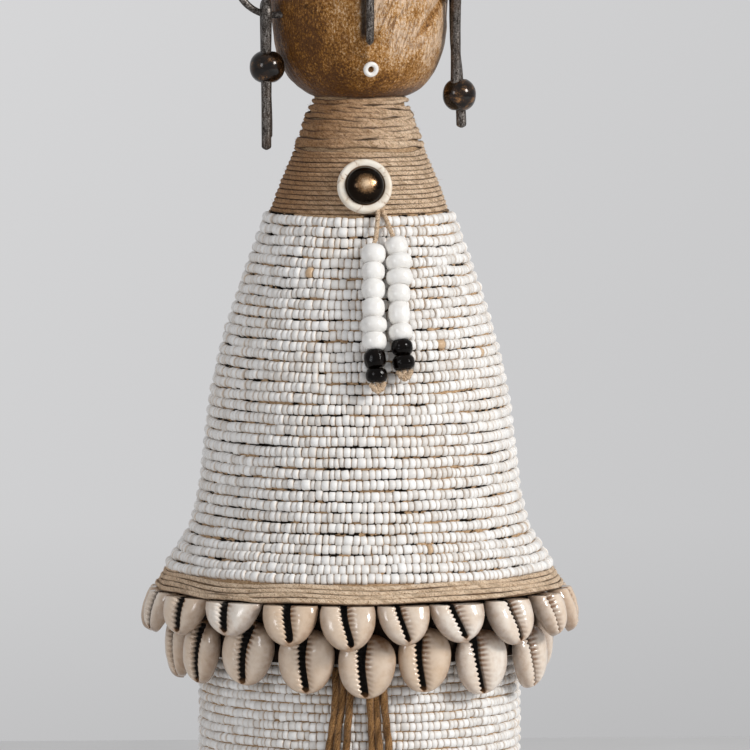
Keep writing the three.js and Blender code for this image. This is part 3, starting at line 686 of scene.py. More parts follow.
def iron_finish():
    """Dark drawn wire, dull and speckled, with worn grey and a little brown rust."""
    finish = Finish("iron_wire", metallic=0.8)
    wear = finish.noise(finish.place((1, 1, 0.35)), 1.0, 5, 0.7)
    speck = finish.noise(finish.place(), 0.4, 2, 0.7)
    rust = finish.noise(finish.place(), 4, 3)
    mottled = finish.sums("ADD", wear, finish.swing(speck, 1.1))
    grey = finish.ramp(
        mottled, (0.32, (0.018, 0.013, 0.010)), (0.54, (0.12, 0.105, 0.094)), (0.8, (0.34, 0.315, 0.295)),
    )
    rusted = finish.ramp(rust, (0.5, 0.0), (0.8, 0.5))
    finish.feed("Base Color", finish.mix(rusted, grey, (0.085, 0.048, 0.026)))
    finish.feed("Roughness", finish.ramp(wear, (0.3, 0.55), (0.8, 0.36)))
    finish.feed("Normal", finish.bump(speck, 0.06, under=finish.bump(wear, 0.08)))
    return finish.material


def glass_finish(name, low, high, roughness, coat):
    """Pressed glass: a clear gloss over a colour that varies a little."""
    finish = Finish(name, specular_ior_level=0.5 if coat else 0.16, coat_weight=coat, coat_roughness=0.06)
    cloud = finish.noise(finish.place(), 2.5, 3)
    finish.feed("Base Color", finish.ramp(cloud, (0.3, low), (0.7, high)))
    finish.feed("Roughness", finish.ramp(cloud, (0.3, roughness), (0.7, roughness + 0.12)))
    finish.feed("Normal", finish.bump(cloud, 0.05 if coat else 0.5))
    return finish.material


def floor_finish():
    """Plain pale ground with a faint cloud."""
    finish = Finish("pale_floor", roughness=0.8, specular_ior_level=0.2)
    cloud = finish.noise(finish.place(), 60, 3)
    finish.feed("Base Color", finish.ramp(cloud, (0.3, (0.70, 0.70, 0.70)), (0.7, (0.74, 0.74, 0.74))))
    return finish.material


FINISHES = {
    "seed_bead": seed_bead_finish(),
    "mantle_bed": thread_bed_finish("mantle_threads", 0.5),
    "skirt_bed": thread_bed_finish("skirt_threads", 0.3),
    "neck_twine": twine_finish("neck_twine", (0.99, 0.79, 0.59), (0.70, 0.48, 0.29), (0.21, 0.10, 0.035),
                               (0.56, 0.40, 0.25)),
    "neck_bed": thread_bed_finish("neck_shade", 0.3),
    "hem_twine": twine_finish("hem_twine", (0.99, 0.80, 0.60), (0.78, 0.57, 0.375), (0.30, 0.15, 0.06),
                              (0.94, 0.84, 0.74)),
    "tail_jute": twine_finish("tail_jute", (0.46, 0.25, 0.10), (0.21, 0.098, 0.028), (0.045, 0.018, 0.004),
                              (0.95, 0.9, 0.85), 0.05),
    "head_wood": head_wood_finish(),
    "foot_wood": foot_wood_finish(),
    "band": band_finish(),
    "cowry": cowry_finish(),
    "bone": bone_finish(),
    "bronze": bronze_finish(),
    "ear_bead": ear_bead_finish(),
    "iron": iron_finish(),
    "white_glass": glass_finish("white_glass", (0.80, 0.775, 0.74), (0.91, 0.90, 0.875), 0.25, 0.5),
    "black_glass": glass_finish("black_glass", (0.001, 0.0005, 0.0003), (0.004, 0.0018, 0.001), 0.03, 0.0),
    "ring_bead": glass_finish("ring_bead_glass", (0.74, 0.71, 0.67), (0.86, 0.84, 0.81), 0.3, 0.6),
}


# Camera

def make_camera():
    """The photograph's view: the doll's axis and ground line fall on their own pixels."""
    azimuth, elevation = np.radians(CAMERA_AZIMUTH), np.radians(CAMERA_ELEVATION)
    right = Vector((np.cos(azimuth), np.sin(azimuth), 0))
    middle = PHOTO_PIXELS / 2
    target = right * ((middle - AXIS_PIXEL) / PIXELS_PER_MM)
    target.z = (GROUND_PIXEL - middle) / PIXELS_PER_MM
    back = Vector((
        np.sin(azimuth) * np.cos(elevation),
        -np.cos(azimuth) * np.cos(elevation),
        np.sin(elevation),
    ))
    data = bpy.data.cameras.new("camera")
    data.sensor_width = SENSOR_WIDTH
    data.lens = SENSOR_WIDTH * CAMERA_DISTANCE * PIXELS_PER_MM / PHOTO_PIXELS
    camera = bpy.data.objects.new("camera", data)
    camera.location = (target + back * CAMERA_DISTANCE) * MM
    camera.rotation_mode = "QUATERNION"
    camera.rotation_quaternion = (-back).to_track_quat("-Z", "Y")
    bpy.context.scene.collection.objects.link(camera)
    bpy.context.scene.camera = camera


make_camera()


# Cords: the tails' strands and the pendants' cords

CORD_SIDES = 10
MANTLE_CREST = spline(MANTLE_SILHOUETTE)
NECK_CREST = spline(NECK_SILHOUETTE)


def crest_radius(height):
    """Radius of the mantle's crest line at a height, or of the neck's above the mantle."""
    mantle = np.interp(height, MANTLE_CREST[::-1, 1], MANTLE_CREST[::-1, 0])
    neck = np.interp(height, NECK_CREST[:, 1], NECK_CREST[:, 0])
    return np.where(np.asarray(height) < MANTLE_TOP, mantle, neck)


def lay_of(path, sides, strand, pitch):
    """Where each point of a tube lies on its cord: length along it, angle round it less the twist, and
    the strand's number. The two end points take the ends' own lengths."""
    reached = lengths_to(path)
    angle = np.arange(sides) * 2 * np.pi / sides
    twisted = angle[None, :] - 2 * np.pi * reached[:, None] / pitch
    along, bend = np.broadcast_arrays(reached[:, None], twisted)
    grid = np.stack([along, np.cos(bend), np.sin(bend) + 3 * strand], axis=-1).reshape(-1, 3)
    ends = np.array([[0, 1, 3 * strand], [reached[-1], 1, 3 * strand]])
    return np.vstack([grid, ends])


def cord_piece(name, path, outward, radius, plies, pitch, groove, material, replaces, strand):
    """A twisted cord along a path, as a piece: a plied tube round the path."""
    rings = tube(path, outward, plied(path, radius, CORD_SIDES, plies, pitch, groove), CORD_SIDES)
    values = {"lay": lay_of(path, CORD_SIDES, strand, pitch)}
    return piece(name, skin(rings), material, replaces, values)


def tail_path(route, side, phase):
    """One strand of a tail, beside its neighbours and flat on the beads. Sine and cosine waves along it
    move it aside and off the beads and back, so that the strands cross here and there."""
    middle = spline(np.array(route), 160)
    share = np.linspace(0, 1, len(middle))
    swing = 2 * np.pi * (share * STRAND_WAVES + phase / 3)
    aside = STRAND_SPREAD * side + STRAND_SWAY * np.sin(swing) * smooth(share, 0, 0.3)
    x = middle[:, 0] + STRAND_RADIUS * aside
    lift = STRAND_RADIUS + TAIL_GAP + 0.3 * STRAND_RADIUS * (1 + np.cos(swing)) * smooth(share, 0, 0.1)
    reach = SKIRT_RADIUS + lift
    return np.stack([x, -np.sqrt(reach**2 - x**2), middle[:, 1]], axis=-1)


def make_tails():
    """Two tails of three strands."""
    strand = 0
    for tail, route in TAIL_ROUTES.items():
        for number, side in enumerate((-1, 0, 1)):
            path = tail_path(route, side, number)
            outward = path * (1, 1, 0)
            made = cord_piece(
                f"tail_{tail}_strand_{number + 1}", path, outward, STRAND_RADIUS,
                STRAND_PLIES, STRAND_PITCH, STRAND_GROOVE,
                FINISHES["tail_jute"], ["front_tails"], strand,
            )
            strand += 1


def pendant_path(route):
    """The cord's line: each knot of the route stands off the silhouette by its own distance."""
    knots = [around(turn, crest_radius(height) + lift, height) for turn, height, lift in route]
    return spline(knots, 130)


def bead_on_cord(centre, along, radius, length, dent):
    """A pressed bead on a cord: a circle whose radius follows a rounded outline, R (1 - |t|^2.7)^(1/2.7),
    that stops at the flat ends, with a dent of a small share of the radius."""
    reach = (1 - BEAD_ENDS**BEAD_POWER) ** (1 / BEAD_POWER)
    share = np.sin(np.linspace(-1, 1, 17) * np.pi / 2) * reach
    girth = radius * (1 - np.abs(share) ** BEAD_POWER) ** (1 / BEAD_POWER)
    out = unit(np.cross(along, (0.0, 0.0, 1.0) if abs(along[2]) < 0.9 else (0.0, 1.0, 0.0)))
    across = np.cross(along, out)
    angle = np.linspace(0, 2 * np.pi, 25)[:-1]
    wave = 1 + dent * np.sin(2 * angle)
    spokes = np.cos(angle)[:, None] * out + np.sin(angle)[:, None] * across
    middle = centre + along * (share / reach * length / 2)[:, None]
    return middle[:, None] + (girth[:, None] * wave)[..., None] * spokes[None]


def turned_back_end(centre, along, strand):
    """The cord's end turned back under the last bead: a plied tube along the parabola x = w t,
    z = h (1/2 - t^2), thinner towards both of its ends. Returns points and triangles with their lay."""
    t = np.linspace(-1, 1, 25)
    side = unit(np.cross(along, (0.0, 1.0, 0.0)))
    path = centre + KNOT_HALF_WIDTH * t[:, None] * side + KNOT_LENGTH * (0.5 - t**2)[:, None] * along
    out = np.broadcast_to((0.0, -1.0, 0.0), path.shape)
    thick = plied(path, KNOT_RADIUS, CORD_SIDES, KNOT_PLIES, KNOT_PITCH, KNOT_GROOVE)
    radius = thick * (1 - 0.3 * t**2)[:, None]
    return skin(tube(path, out, radius, CORD_SIDES)), lay_of(path, CORD_SIDES, strand, KNOT_PITCH)


def spot_on(path, from_end):
    """The point of the path at a length before its end, and the path's direction there."""
    reached = lengths_to(path)
    behind, place, ahead = (
        np.array([np.interp(reached[-1] - from_end + shift, reached, column) for column in path.T])
        for shift in (-1, 0, 1)
    )
    return place, unit(ahead - behind)


def make_pendants(dice):
    """Two beaded cords: knot, black beads and white ones, counted from the lower end."""
    for number, (side, route) in enumerate(PENDANT_ROUTES.items()):
        path = pendant_path(route)
        cord = cord_piece(
            f"pendant_{side}_cord", path, path * (1, 1, 0), CORD_RADIUS, CORD_PLIES, CORD_PITCH, CORD_GROOVE,
            FINISHES["neck_twine"], ["bead_pendants"], number,
        )
        centre, along = spot_on(path, KNOT_LENGTH / 2)
        shape, lay = turned_back_end(centre, along, number + 2)
        piece(
            f"pendant_{side}_knot", shape, FINISHES["neck_twine"], ["bead_pendants"],
            {"lay": lay},
        )
        reach = KNOT_LENGTH
        for index, (width, length, tilt) in enumerate(PENDANT_BEADS[side]):
            black = index < BLACK_BEADS
            centre, along = spot_on(path, reach + length / 2)
            tipped = unit(along + np.array([np.tan(np.radians(tilt)), 0, 0]))
            rings = bead_on_cord(centre, tipped, width / 2, length * 1.01, dice.uniform(0, 0.02))
            word = "black" if black else "white"
            order = index + 1 if black else index + 1 - BLACK_BEADS
            piece(
                f"pendant_{side}_{word}_{order}", skin(rings), FINISHES[f"{word}_glass"],
                ["bead_pendants"],
            )
            reach += length


dice = np.random.default_rng(SEED)
make_tails()
make_pendants(dice)


# Seed beads in rows

BEAD_HIGH = 0.98
MEAN_BEAD_LENGTH = 1.98
TAN_BEAD_SHARE = 0.001
MANTLE_BEAD = 1.46
SKIRT_BEAD = 1.27
BEAD_DIMPLE = 0.12
BED_DEPTH = 1.35
BED_RISE = 0.75
SEEN_TURN = 100
SEEN_DOWN_TO = 66


def bead_plan(angles, stations):
    """A bead's points as side along the thread, distance in from its end, girth and angle from outward,
    how much painted seam shade is on each, and its triangles. Each end is closed by a shallow dimple."""
    angles = np.radians(angles)
    side, inset, girth = (np.repeat(column, len(angles)) for column in np.array(stations).T)
    angle = np.tile(angles, len(stations))
    # Painted seam shade: full on the bead's ends, and growing towards its inner side.
    seam_shade = np.clip((1 - girth) * 3 + 0.3 * (1 - np.cos(angle)) ** 2, 0, 1)
    _, triangles = skin(np.zeros((len(stations), len(angles), 3)))
    side = np.append(side, [-1, 1])
    inset = np.append(inset, [BEAD_DIMPLE, BEAD_DIMPLE])
    girth = np.append(girth, [0, 0])
    angle = np.append(angle, [0, 0])
    return side, inset, girth, angle, np.append(seam_shade, [1, 1]), triangles


SEEN_PLAN = bead_plan(
    [18, 54, 90, 135, 225, 270, 306, 342], [(-1, 0.0, 0.74), (-1, 0.24, 1.0), (1, 0.24, 1.0), (1, 0.0, 0.74)],
)
PLAIN_PLAN = bead_plan([30, 90, 150, 210, 270, 330], [(-1, 0.0, 0.72), (0, 0.0, 1.06), (1, 0.0, 0.72)])


def strung_row(radius, height, slope, bead, sag, dice):
    """The beads of one row: their lengths are drawn by chance and fitted to fill the row's circle."""
    girth = 2 * np.pi * radius
    count = int(round(girth / MEAN_BEAD_LENGTH))
    lengths = np.clip(dice.normal(1, 0.17, count), 0.66, 1.5)
    lengths *= girth / lengths.sum()
    turn = (np.cumsum(lengths) - lengths / 2) / girth * 360 + dice.uniform(0, 360)
    size = bead * np.clip(dice.normal(1, 0.045, count), 0.88, 1.1)
    proud = dice.normal(0, 0.15, count)
    shift = sag * wobble(turn, dice, 2, 11) + dice.normal(0, 0.08, count)
    # The tone is random, with painted light and shade on top: beads that stand proud are whiter, sunk ones
    # greyer.
    tone = np.clip(0.52 + 0.24 * dice.normal(size=count) + 0.9 * proud, 0.1, 1)
    tone = np.where(dice.uniform(size=count) < TAN_BEAD_SHARE, 0.0, tone)
    radius, height, slope, bead = (np.full(count, value) for value in (radius, height, slope, bead))
    turn = (turn + 180) % 360 - 180
    return np.stack([turn, radius, height, slope, lengths, size, proud, shift, tone, bead], axis=-1)


def bead_points(beads, plan, dice):
    """Each bead's points: its centre lies one bead radius inside the crest line, and its own directions
    are along the row, outward and up the slope, turned a little by chance."""
    side, inset, girth, angle = plan[:4]
    columns = (beads[:, [column]] for column in range(10))
    turn, radius, height, slope, length, size, proud, shift, _, bead = columns
    turn = np.radians(turn)
    out = np.hstack([np.sin(turn) * np.cos(slope), -np.cos(turn) * np.cos(slope), np.sin(slope)])
    along = np.hstack([np.cos(turn), np.sin(turn), np.zeros_like(turn)])
    up = np.cross(out, along)
    crest = np.hstack([radius * np.sin(turn), -radius * np.cos(turn), height])
    centre = crest + out * (proud - bead) + up * shift
    lean = dice.normal(0, 0.06, (len(beads), 2))
    along = unit(along + lean[:, :1] * up + lean[:, 1:] * out)
    out = unit(out - (out * along).sum(axis=1, keepdims=True) * along)
    up = np.cross(out, along)
    reach = side * (length * 0.5 - inset * size)
    square = girth * (1 + 0.09 * np.abs(np.sin(2 * angle))) * size
    wide = square * np.cos(angle)
    tall = -square * np.sin(angle) * BEAD_HIGH
    points = centre[:, None] + reach[..., None] * along[:, None]
    return points + wide[..., None] * out[:, None] + tall[..., None] * up[:, None]


def bead_piece(name, beads, plan, replaces, dice):
    """Many beads as one piece, with a tone for each bead and the painted seam shade on its points."""
    points = bead_points(beads, plan, dice)
    shape = (points.reshape(-1, 3), copies(points.shape[1], plan[5], len(beads)))
    return piece(name, shape, FINISHES["seed_bead"], replaces, {
        "tone": np.repeat(beads[:, 8], points.shape[1]), "seam_shade": np.tile(plan[4], len(beads)),
    })


def crest_rows(crest, rows):
    """Radius, height and outward slope at the middle of each row, rows being even along the crest."""
    middles = even(crest, 2 * rows + 1)
    radius, height = middles[1::2].T
    change = middles[2::2] - middles[:-2:2]
    slope = np.arctan2(change[:, 0], -change[:, 1]) if crest[0, 1] > crest[-1, 1] else np.zeros(rows)
    return radius, height, slope


def thread_bed(name, crest, rows, bead, material, replaces, dice):
    """The threads under the beads: a surface turned round Z that lies deep under each row and rises
    between two rows, r = crest - depth + rise (0.5 + 0.5 cos(2 pi row)), uneven by chance."""
    sides, per_row = 96, 3
    line = even(crest, rows * per_row + 1)
    place = np.arange(len(line)) / per_row
    turn = np.arange(sides) * 360 / sides
    ridge = 0.5 + 0.5 * np.cos(2 * np.pi * place)
    radius = line[:, :1] - BED_DEPTH * bead + BED_RISE * ridge[:, None]
    grid = around(turn[None, :], radius, line[:, 1:])
    away = lumps(grid * (1, 1, 2.2), dice, 11)
    grid = around(turn[None, :], radius + 0.28 * away, line[:, 1:])
    shape = skin(grid if line[0, 1] < line[-1, 1] else grid[::-1])
    return piece(name, shape, material, replaces)


def make_bead_work(dice):
    """The mantle's and the skirt's rows over their beds of thread. The beads in front are finer."""
    works = [
        ("mantle", MANTLE_CREST, MANTLE_ROWS, MANTLE_BEAD, 0.24, "bead_mantle", "mantle_bed"),
        ("skirt", even(np.array([(SKIRT_RADIUS, SKIRT_BEADED_TOP), (SKIRT_RADIUS, FOOT_HEIGHT)], float), 200),
         SKIRT_ROWS, SKIRT_BEAD, 0.14, "bead_skirt", "skirt_bed"),
    ]
    for word, crest, rows, bead, sag, node, bed in works:
        beads = np.vstack([strung_row(*row, bead, sag, dice) for row in zip(*crest_rows(crest, rows))])
        seen = (np.abs(beads[:, 0]) < SEEN_TURN) & (beads[:, 2] > SEEN_DOWN_TO)
        bead_piece(f"{word}_beads_front", beads[seen], SEEN_PLAN, [node], dice)
        bead_piece(f"{word}_beads_back", beads[~seen], PLAIN_PLAN, [node], dice)
        thread_bed(f"{word}_threads", crest, rows, bead, FINISHES[bed], [node], dice)


make_bead_work(dice)


# Twine wound on the neck and the hem

def crest_place(crest, reach):
    """Radius, height and outward slope where a length along the crest line is reached."""
    reached = lengths_to(crest)
    radius = np.interp(reach, reached, crest[:, 0])
    height = np.interp(reach, reached, crest[:, 1])
    rise = np.gradient(crest, axis=0)
    slope = np.interp(reach, reached, np.arctan2(-rise[:, 0], rise[:, 1]))
    return radius, height, slope


def winding(crest, start, stop, turns, radius, dice, step, stray, proud):
    """The path of twine wound round a crest line: the length along the line grows evenly with the turn,
    and the twine's middle lies its own radius inside the line. It strays along the line by one wave that
    all turns share and one that each has for itself, and stands proud by chance waves."""
    mean = crest_place(crest, np.array([(start + stop) / 2]))[0][0]
    count = int(turns * 2 * np.pi * mean / step)
    turn = np.linspace(0, 360 * turns, count) + 180
    own = wobble(turn * 0.618, dice, 3, 14)
    reach = np.linspace(start, stop, count) + stray * (wobble(turn, dice, 2, 9) + 0.8 * own)
    girth, height, slope = crest_place(crest, reach)
    out = around(turn, np.cos(slope), np.sin(slope))
    lift = proud * wobble(turn * 0.618, dice, 4, 17)
    path = around(turn, girth, height) - out * (radius * 1.02 - lift)[:, None]
    return path, out


# Loose fibres, and how many there are to a metre of twine
FIBRE_RADIUS = 0.05
FIBRE_STATIONS = 4
LONGEST_FIBRE = 1.1
NECK_FIBRES = 330
HEM_FIBRES = 300


def fuzz(path, out, radius, count, longest, dice):
    """Loose fibres on a strand. Each starts on its skin and bends away along a parabola, a + s d + s^2 b,
    with a thin three-sided section that tapers to its end. Returns points, triangles and lay."""
    start = dice.integers(1, len(path) - 1, count)
    along = unit(path[start + 1] - path[start - 1])
    outward = out[start]
    across = np.cross(along, outward)
    angle = dice.uniform(-1.9, 1.9, (count, 1))
    spoke = np.cos(angle) * outward + np.sin(angle) * across
    foot = path[start] + spoke * radius * 0.85
    ahead = unit(spoke * dice.uniform(0.25, 1.1, (count, 1)) + along * dice.normal(size=(count, 1)))
    bend = unit(dice.normal(size=(count, 3))) * dice.uniform(0.2, 0.8, (count, 1))
    length = dice.uniform(0.3, 1, (count, 1)) * longest
    share = np.linspace(0, 1, FIBRE_STATIONS)[None, :, None]
    line = foot[:, None] + (ahead[:, None] * share + bend[:, None] * share**2) * length[:, None]
    side = unit(np.cross(ahead, bend))
    third = np.cross(ahead, side)
    corner = np.arange(3) * 2 * np.pi / 3
    spokes = np.cos(corner)[None, :, None] * side[:, None] + np.sin(corner)[None, :, None] * third[:, None]
    rings = line[:, :, None] + spokes[:, None] * (FIBRE_RADIUS * (1 - 0.6 * share))[..., None]
    middles = line[:, [0, -1]]
    points = np.concatenate([rings.reshape(count, -1, 3), middles], axis=1)
    _, triangles = skin(np.zeros((FIBRE_STATIONS, 3, 3)))
    return points.reshape(-1, 3), copies(points.shape[1], triangles, count), points.reshape(-1, 3) * 0.6


def wound_piece(name, parts, material, replaces, hairs, groove, dice):
    """Several strands in one piece, with loose fibres, so many to a metre. A part is a path, outward
    directions, radius and ply pitch. The rim, 1/2 - cos a / 2, grows from a strand's crest to its foot."""
    sides = 7
    shapes, lays, rims = [], [], []
    flank = 0.5 - 0.5 * np.cos(np.arange(sides) * 2 * np.pi / sides)
    for strand, (path, out, radius, pitch) in enumerate(parts):
        rings = tube(path, out, plied(path, radius, sides, 2, pitch, groove), sides)
        shapes.append(skin(rings))
        lays.append(lay_of(path, sides, strand, pitch))
        rims.append(np.append(np.tile(flank, len(path)), (1, 1)))
        count = max(2, int(hairs * length_of(path) * MM))
        points, triangles, lay = fuzz(path, out, np.mean(radius), count, LONGEST_FIBRE, dice)
        shapes.append((points, triangles))
        lays.append(lay)
        rims.append(np.zeros(len(points)))
    values = {"lay": np.vstack(lays), "rim": np.concatenate(rims)}
    return piece(name, joined(shapes), material, replaces, values)


def loose_strand(height, rise, bow, girth_gain, dice):
    """A strand laid loosely round the neck: its height bows and slopes with the turn, rise sin(turn) +
    bow cos(turn) above its mean, and it stands off the silhouette by the gain."""
    turn = np.linspace(0, 360, 170) + dice.uniform(150, 210)
    angle = np.radians(turn)
    z = height + rise * np.sin(angle) + bow * np.cos(angle) + 0.3 * wobble(turn, dice, 2, 7)
    z = np.clip(z, MANTLE_TOP + 1, NECK_TOP - 0.7)
    radius = crest_radius(z) + girth_gain + 0.15 * wobble(turn, dice, 3, 11)
    return around(turn, radius, z), around(turn, 1.0, 0.0)


NEAT_STEP = 1.42
NEAT_RADIUS = 0.76
NEAT_PITCH = 5.2
LOOSE_FROM = 243.4
LOOSE_STEP = 0.98
LOOSE_COUNT = 15
LOOSE_PITCH = 6.5
NECK_GROOVE = 0.12
NECK_BED_DEPTH = 1.1
HEM_PITCH = 7.5
HEM_GROOVE = 0.1

# Loose strands that cross the others, as mean height, rise, bow and how far they stand off the silhouette
CROSSING_STRANDS = [
    (246.9, 1.6, 0.6, 0.5), (251.6, 1.3, -0.6, 0.45), (248.6, -1.5, 0.4, 0.5), (254.4, -0.8, 0.5, 0.35),
]


def make_neck_twine(dice):
    """Neat turns on the shoulders, loose strands above them, and a shaded bed under both."""
    total = length_of(NECK_CREST)
    reached = np.linspace(0, total, len(NECK_CREST))
    neat_stop = float(np.interp(NEAT_TOP, NECK_CREST[:, 1], reached))
    turns = neat_stop / NEAT_STEP
    neat = winding(
        NECK_CREST, 0.3, neat_stop + 0.2, turns, NEAT_RADIUS - 0.02, dice, step=0.62, stray=0.1, proud=0.1,
    )
    parts = [(*neat, NEAT_RADIUS, NEAT_PITCH)]
    strands = [
        (LOOSE_FROM + LOOSE_STEP * number, dice.normal(0, 0.7), dice.normal(0, 0.4), dice.uniform(0.0, 0.45))
        for number in range(LOOSE_COUNT)
    ]
    for height, rise, bow, gain in strands + CROSSING_STRANDS:
        radius = dice.uniform(0.55, 0.95)
        path, out = loose_strand(height, rise, bow, gain - radius, dice)
        thick = radius * (1 + 0.14 * wobble(np.linspace(0, 720, len(path)), dice, 1, 5))
        parts.append((path, out, thick, LOOSE_PITCH))
    wound_piece(
        "neck_winding", parts, FINISHES["neck_twine"], ["neck_twine"],
        NECK_FIBRES, NECK_GROOVE, dice,
    )
    bed = even(NECK_CREST, 40)
    turn = np.arange(90) * 4.0
    girth = bed[:, :1] - NECK_BED_DEPTH
    grid = around(turn[None, :], girth, bed[:, 1:])
    grid = around(turn[None, :], girth + 0.2 * lumps(grid, dice, 6), bed[:, 1:])
    piece("neck_shade", skin(grid), FINISHES["neck_bed"], ["neck_twine"])


def make_hem_twine(dice):
    """Uneven turns of twine up the hem's flare, over a core that closes it behind."""
    line = even(np.array([
        (HEM_RADIUS - 0.3, HEM_BOTTOM), (HEM_RADIUS, HEM_WIDEST), (HEM_UPPER_RADIUS, MANTLE_BOTTOM + 0.4),
    ], float), 60)
    radius = HEM_TWINE_RADIUS
    stop = length_of(line) - radius * 0.9
    path, out = winding(
        line, radius * 0.9, stop, HEM_TURNS, radius, dice, step=0.75, stray=0.4, proud=0.22,
    )
    thick = radius * (1.04 + 0.13 * wobble(np.linspace(0, 3600, len(path)), dice, 1, 9))
    wound_piece(
        "hem_winding", [(path, out, thick, HEM_PITCH)], FINISHES["hem_twine"], ["hem_twine"],
        HEM_FIBRES, HEM_GROOVE, dice,
    )
    outline = [
        (BAND_UPPER + 0.3, HEM_BOTTOM + 0.4), (HEM_RADIUS - 1.5, HEM_BOTTOM + 0.4),
        (HEM_RADIUS - 1.2, HEM_WIDEST), (HEM_UPPER_RADIUS - 1, MANTLE_BOTTOM + 0.2),
        (BAND_UPPER + 0.3, MANTLE_BOTTOM + 0.2),
    ]
    core = skin(lathe(outline, 120), closed=True)
    piece("hem_core", core, FINISHES["neck_bed"], ["hem_twine"])


make_neck_twine(dice)
make_hem_twine(dice)


# Band and foot

def make_band(dice):
    """The band behind the shells, a closed ring with a step, its skin a little uneven."""
    outline = [
        (BAND_INNER, BAND_BOTTOM), (BAND_LOWER - 0.3, BAND_BOTTOM), (BAND_LOWER, BAND_BOTTOM + 0.5),
        (BAND_LOWER, BAND_BOTTOM + 5), (BAND_LOWER, BAND_STEP - 1), (BAND_LOWER + 0.5, BAND_STEP),
        (BAND_UPPER, BAND_STEP + 0.8), (BAND_UPPER, BAND_STEP + 5), (BAND_UPPER, MANTLE_BOTTOM),
        (BAND_INNER, MANTLE_BOTTOM),
    ]
    rings = lathe(outline, 150)
    swell = 1 + 0.004 * lumps(rings, dice, 7)[..., None]
    shape = skin(rings * (1, 1, 0) * swell + rings * (0, 0, 1), closed=True)
    # The band is near black: painted shade behind the shells.
    piece("shell_band_shade", shape, FINISHES["band"], ["shell_band"])


def make_foot():
    """The turned foot, with a rounded edge and one fine groove."""
    edge = np.radians(np.linspace(-90, 0, 7))
    rounding = FOOT_ROUNDING
    low = [(FOOT_RADIUS - rounding + rounding * np.cos(a), rounding + rounding * np.sin(a)) for a in edge]
    high = [(radius, FOOT_HEIGHT - height) for radius, height in reversed(low)]
    groove = [(FOOT_RADIUS, 3.2), (FOOT_RADIUS - 0.5, 3.6), (FOOT_RADIUS, 4.0), (FOOT_RADIUS, 5.0)]
    outline = [(0.5, 0), (20, 0), *low, *groove, *high, (20, FOOT_HEIGHT), (0.5, FOOT_HEIGHT)]
    piece("turned_foot", skin(lathe(outline, 120)), FINISHES["foot_wood"], ["wooden_foot"])


make_band(dice)
make_foot()


# Cowry shells

SHELL_TEETH = 13
SHELL_POWER = 2.2
SLIT_HALF_WIDTH = 0.066
SLIT_DEPTH = 3.2
SHELL_EDGE = 0.36
SEEN_STATIONS, HIDDEN_STATIONS = 84, 26


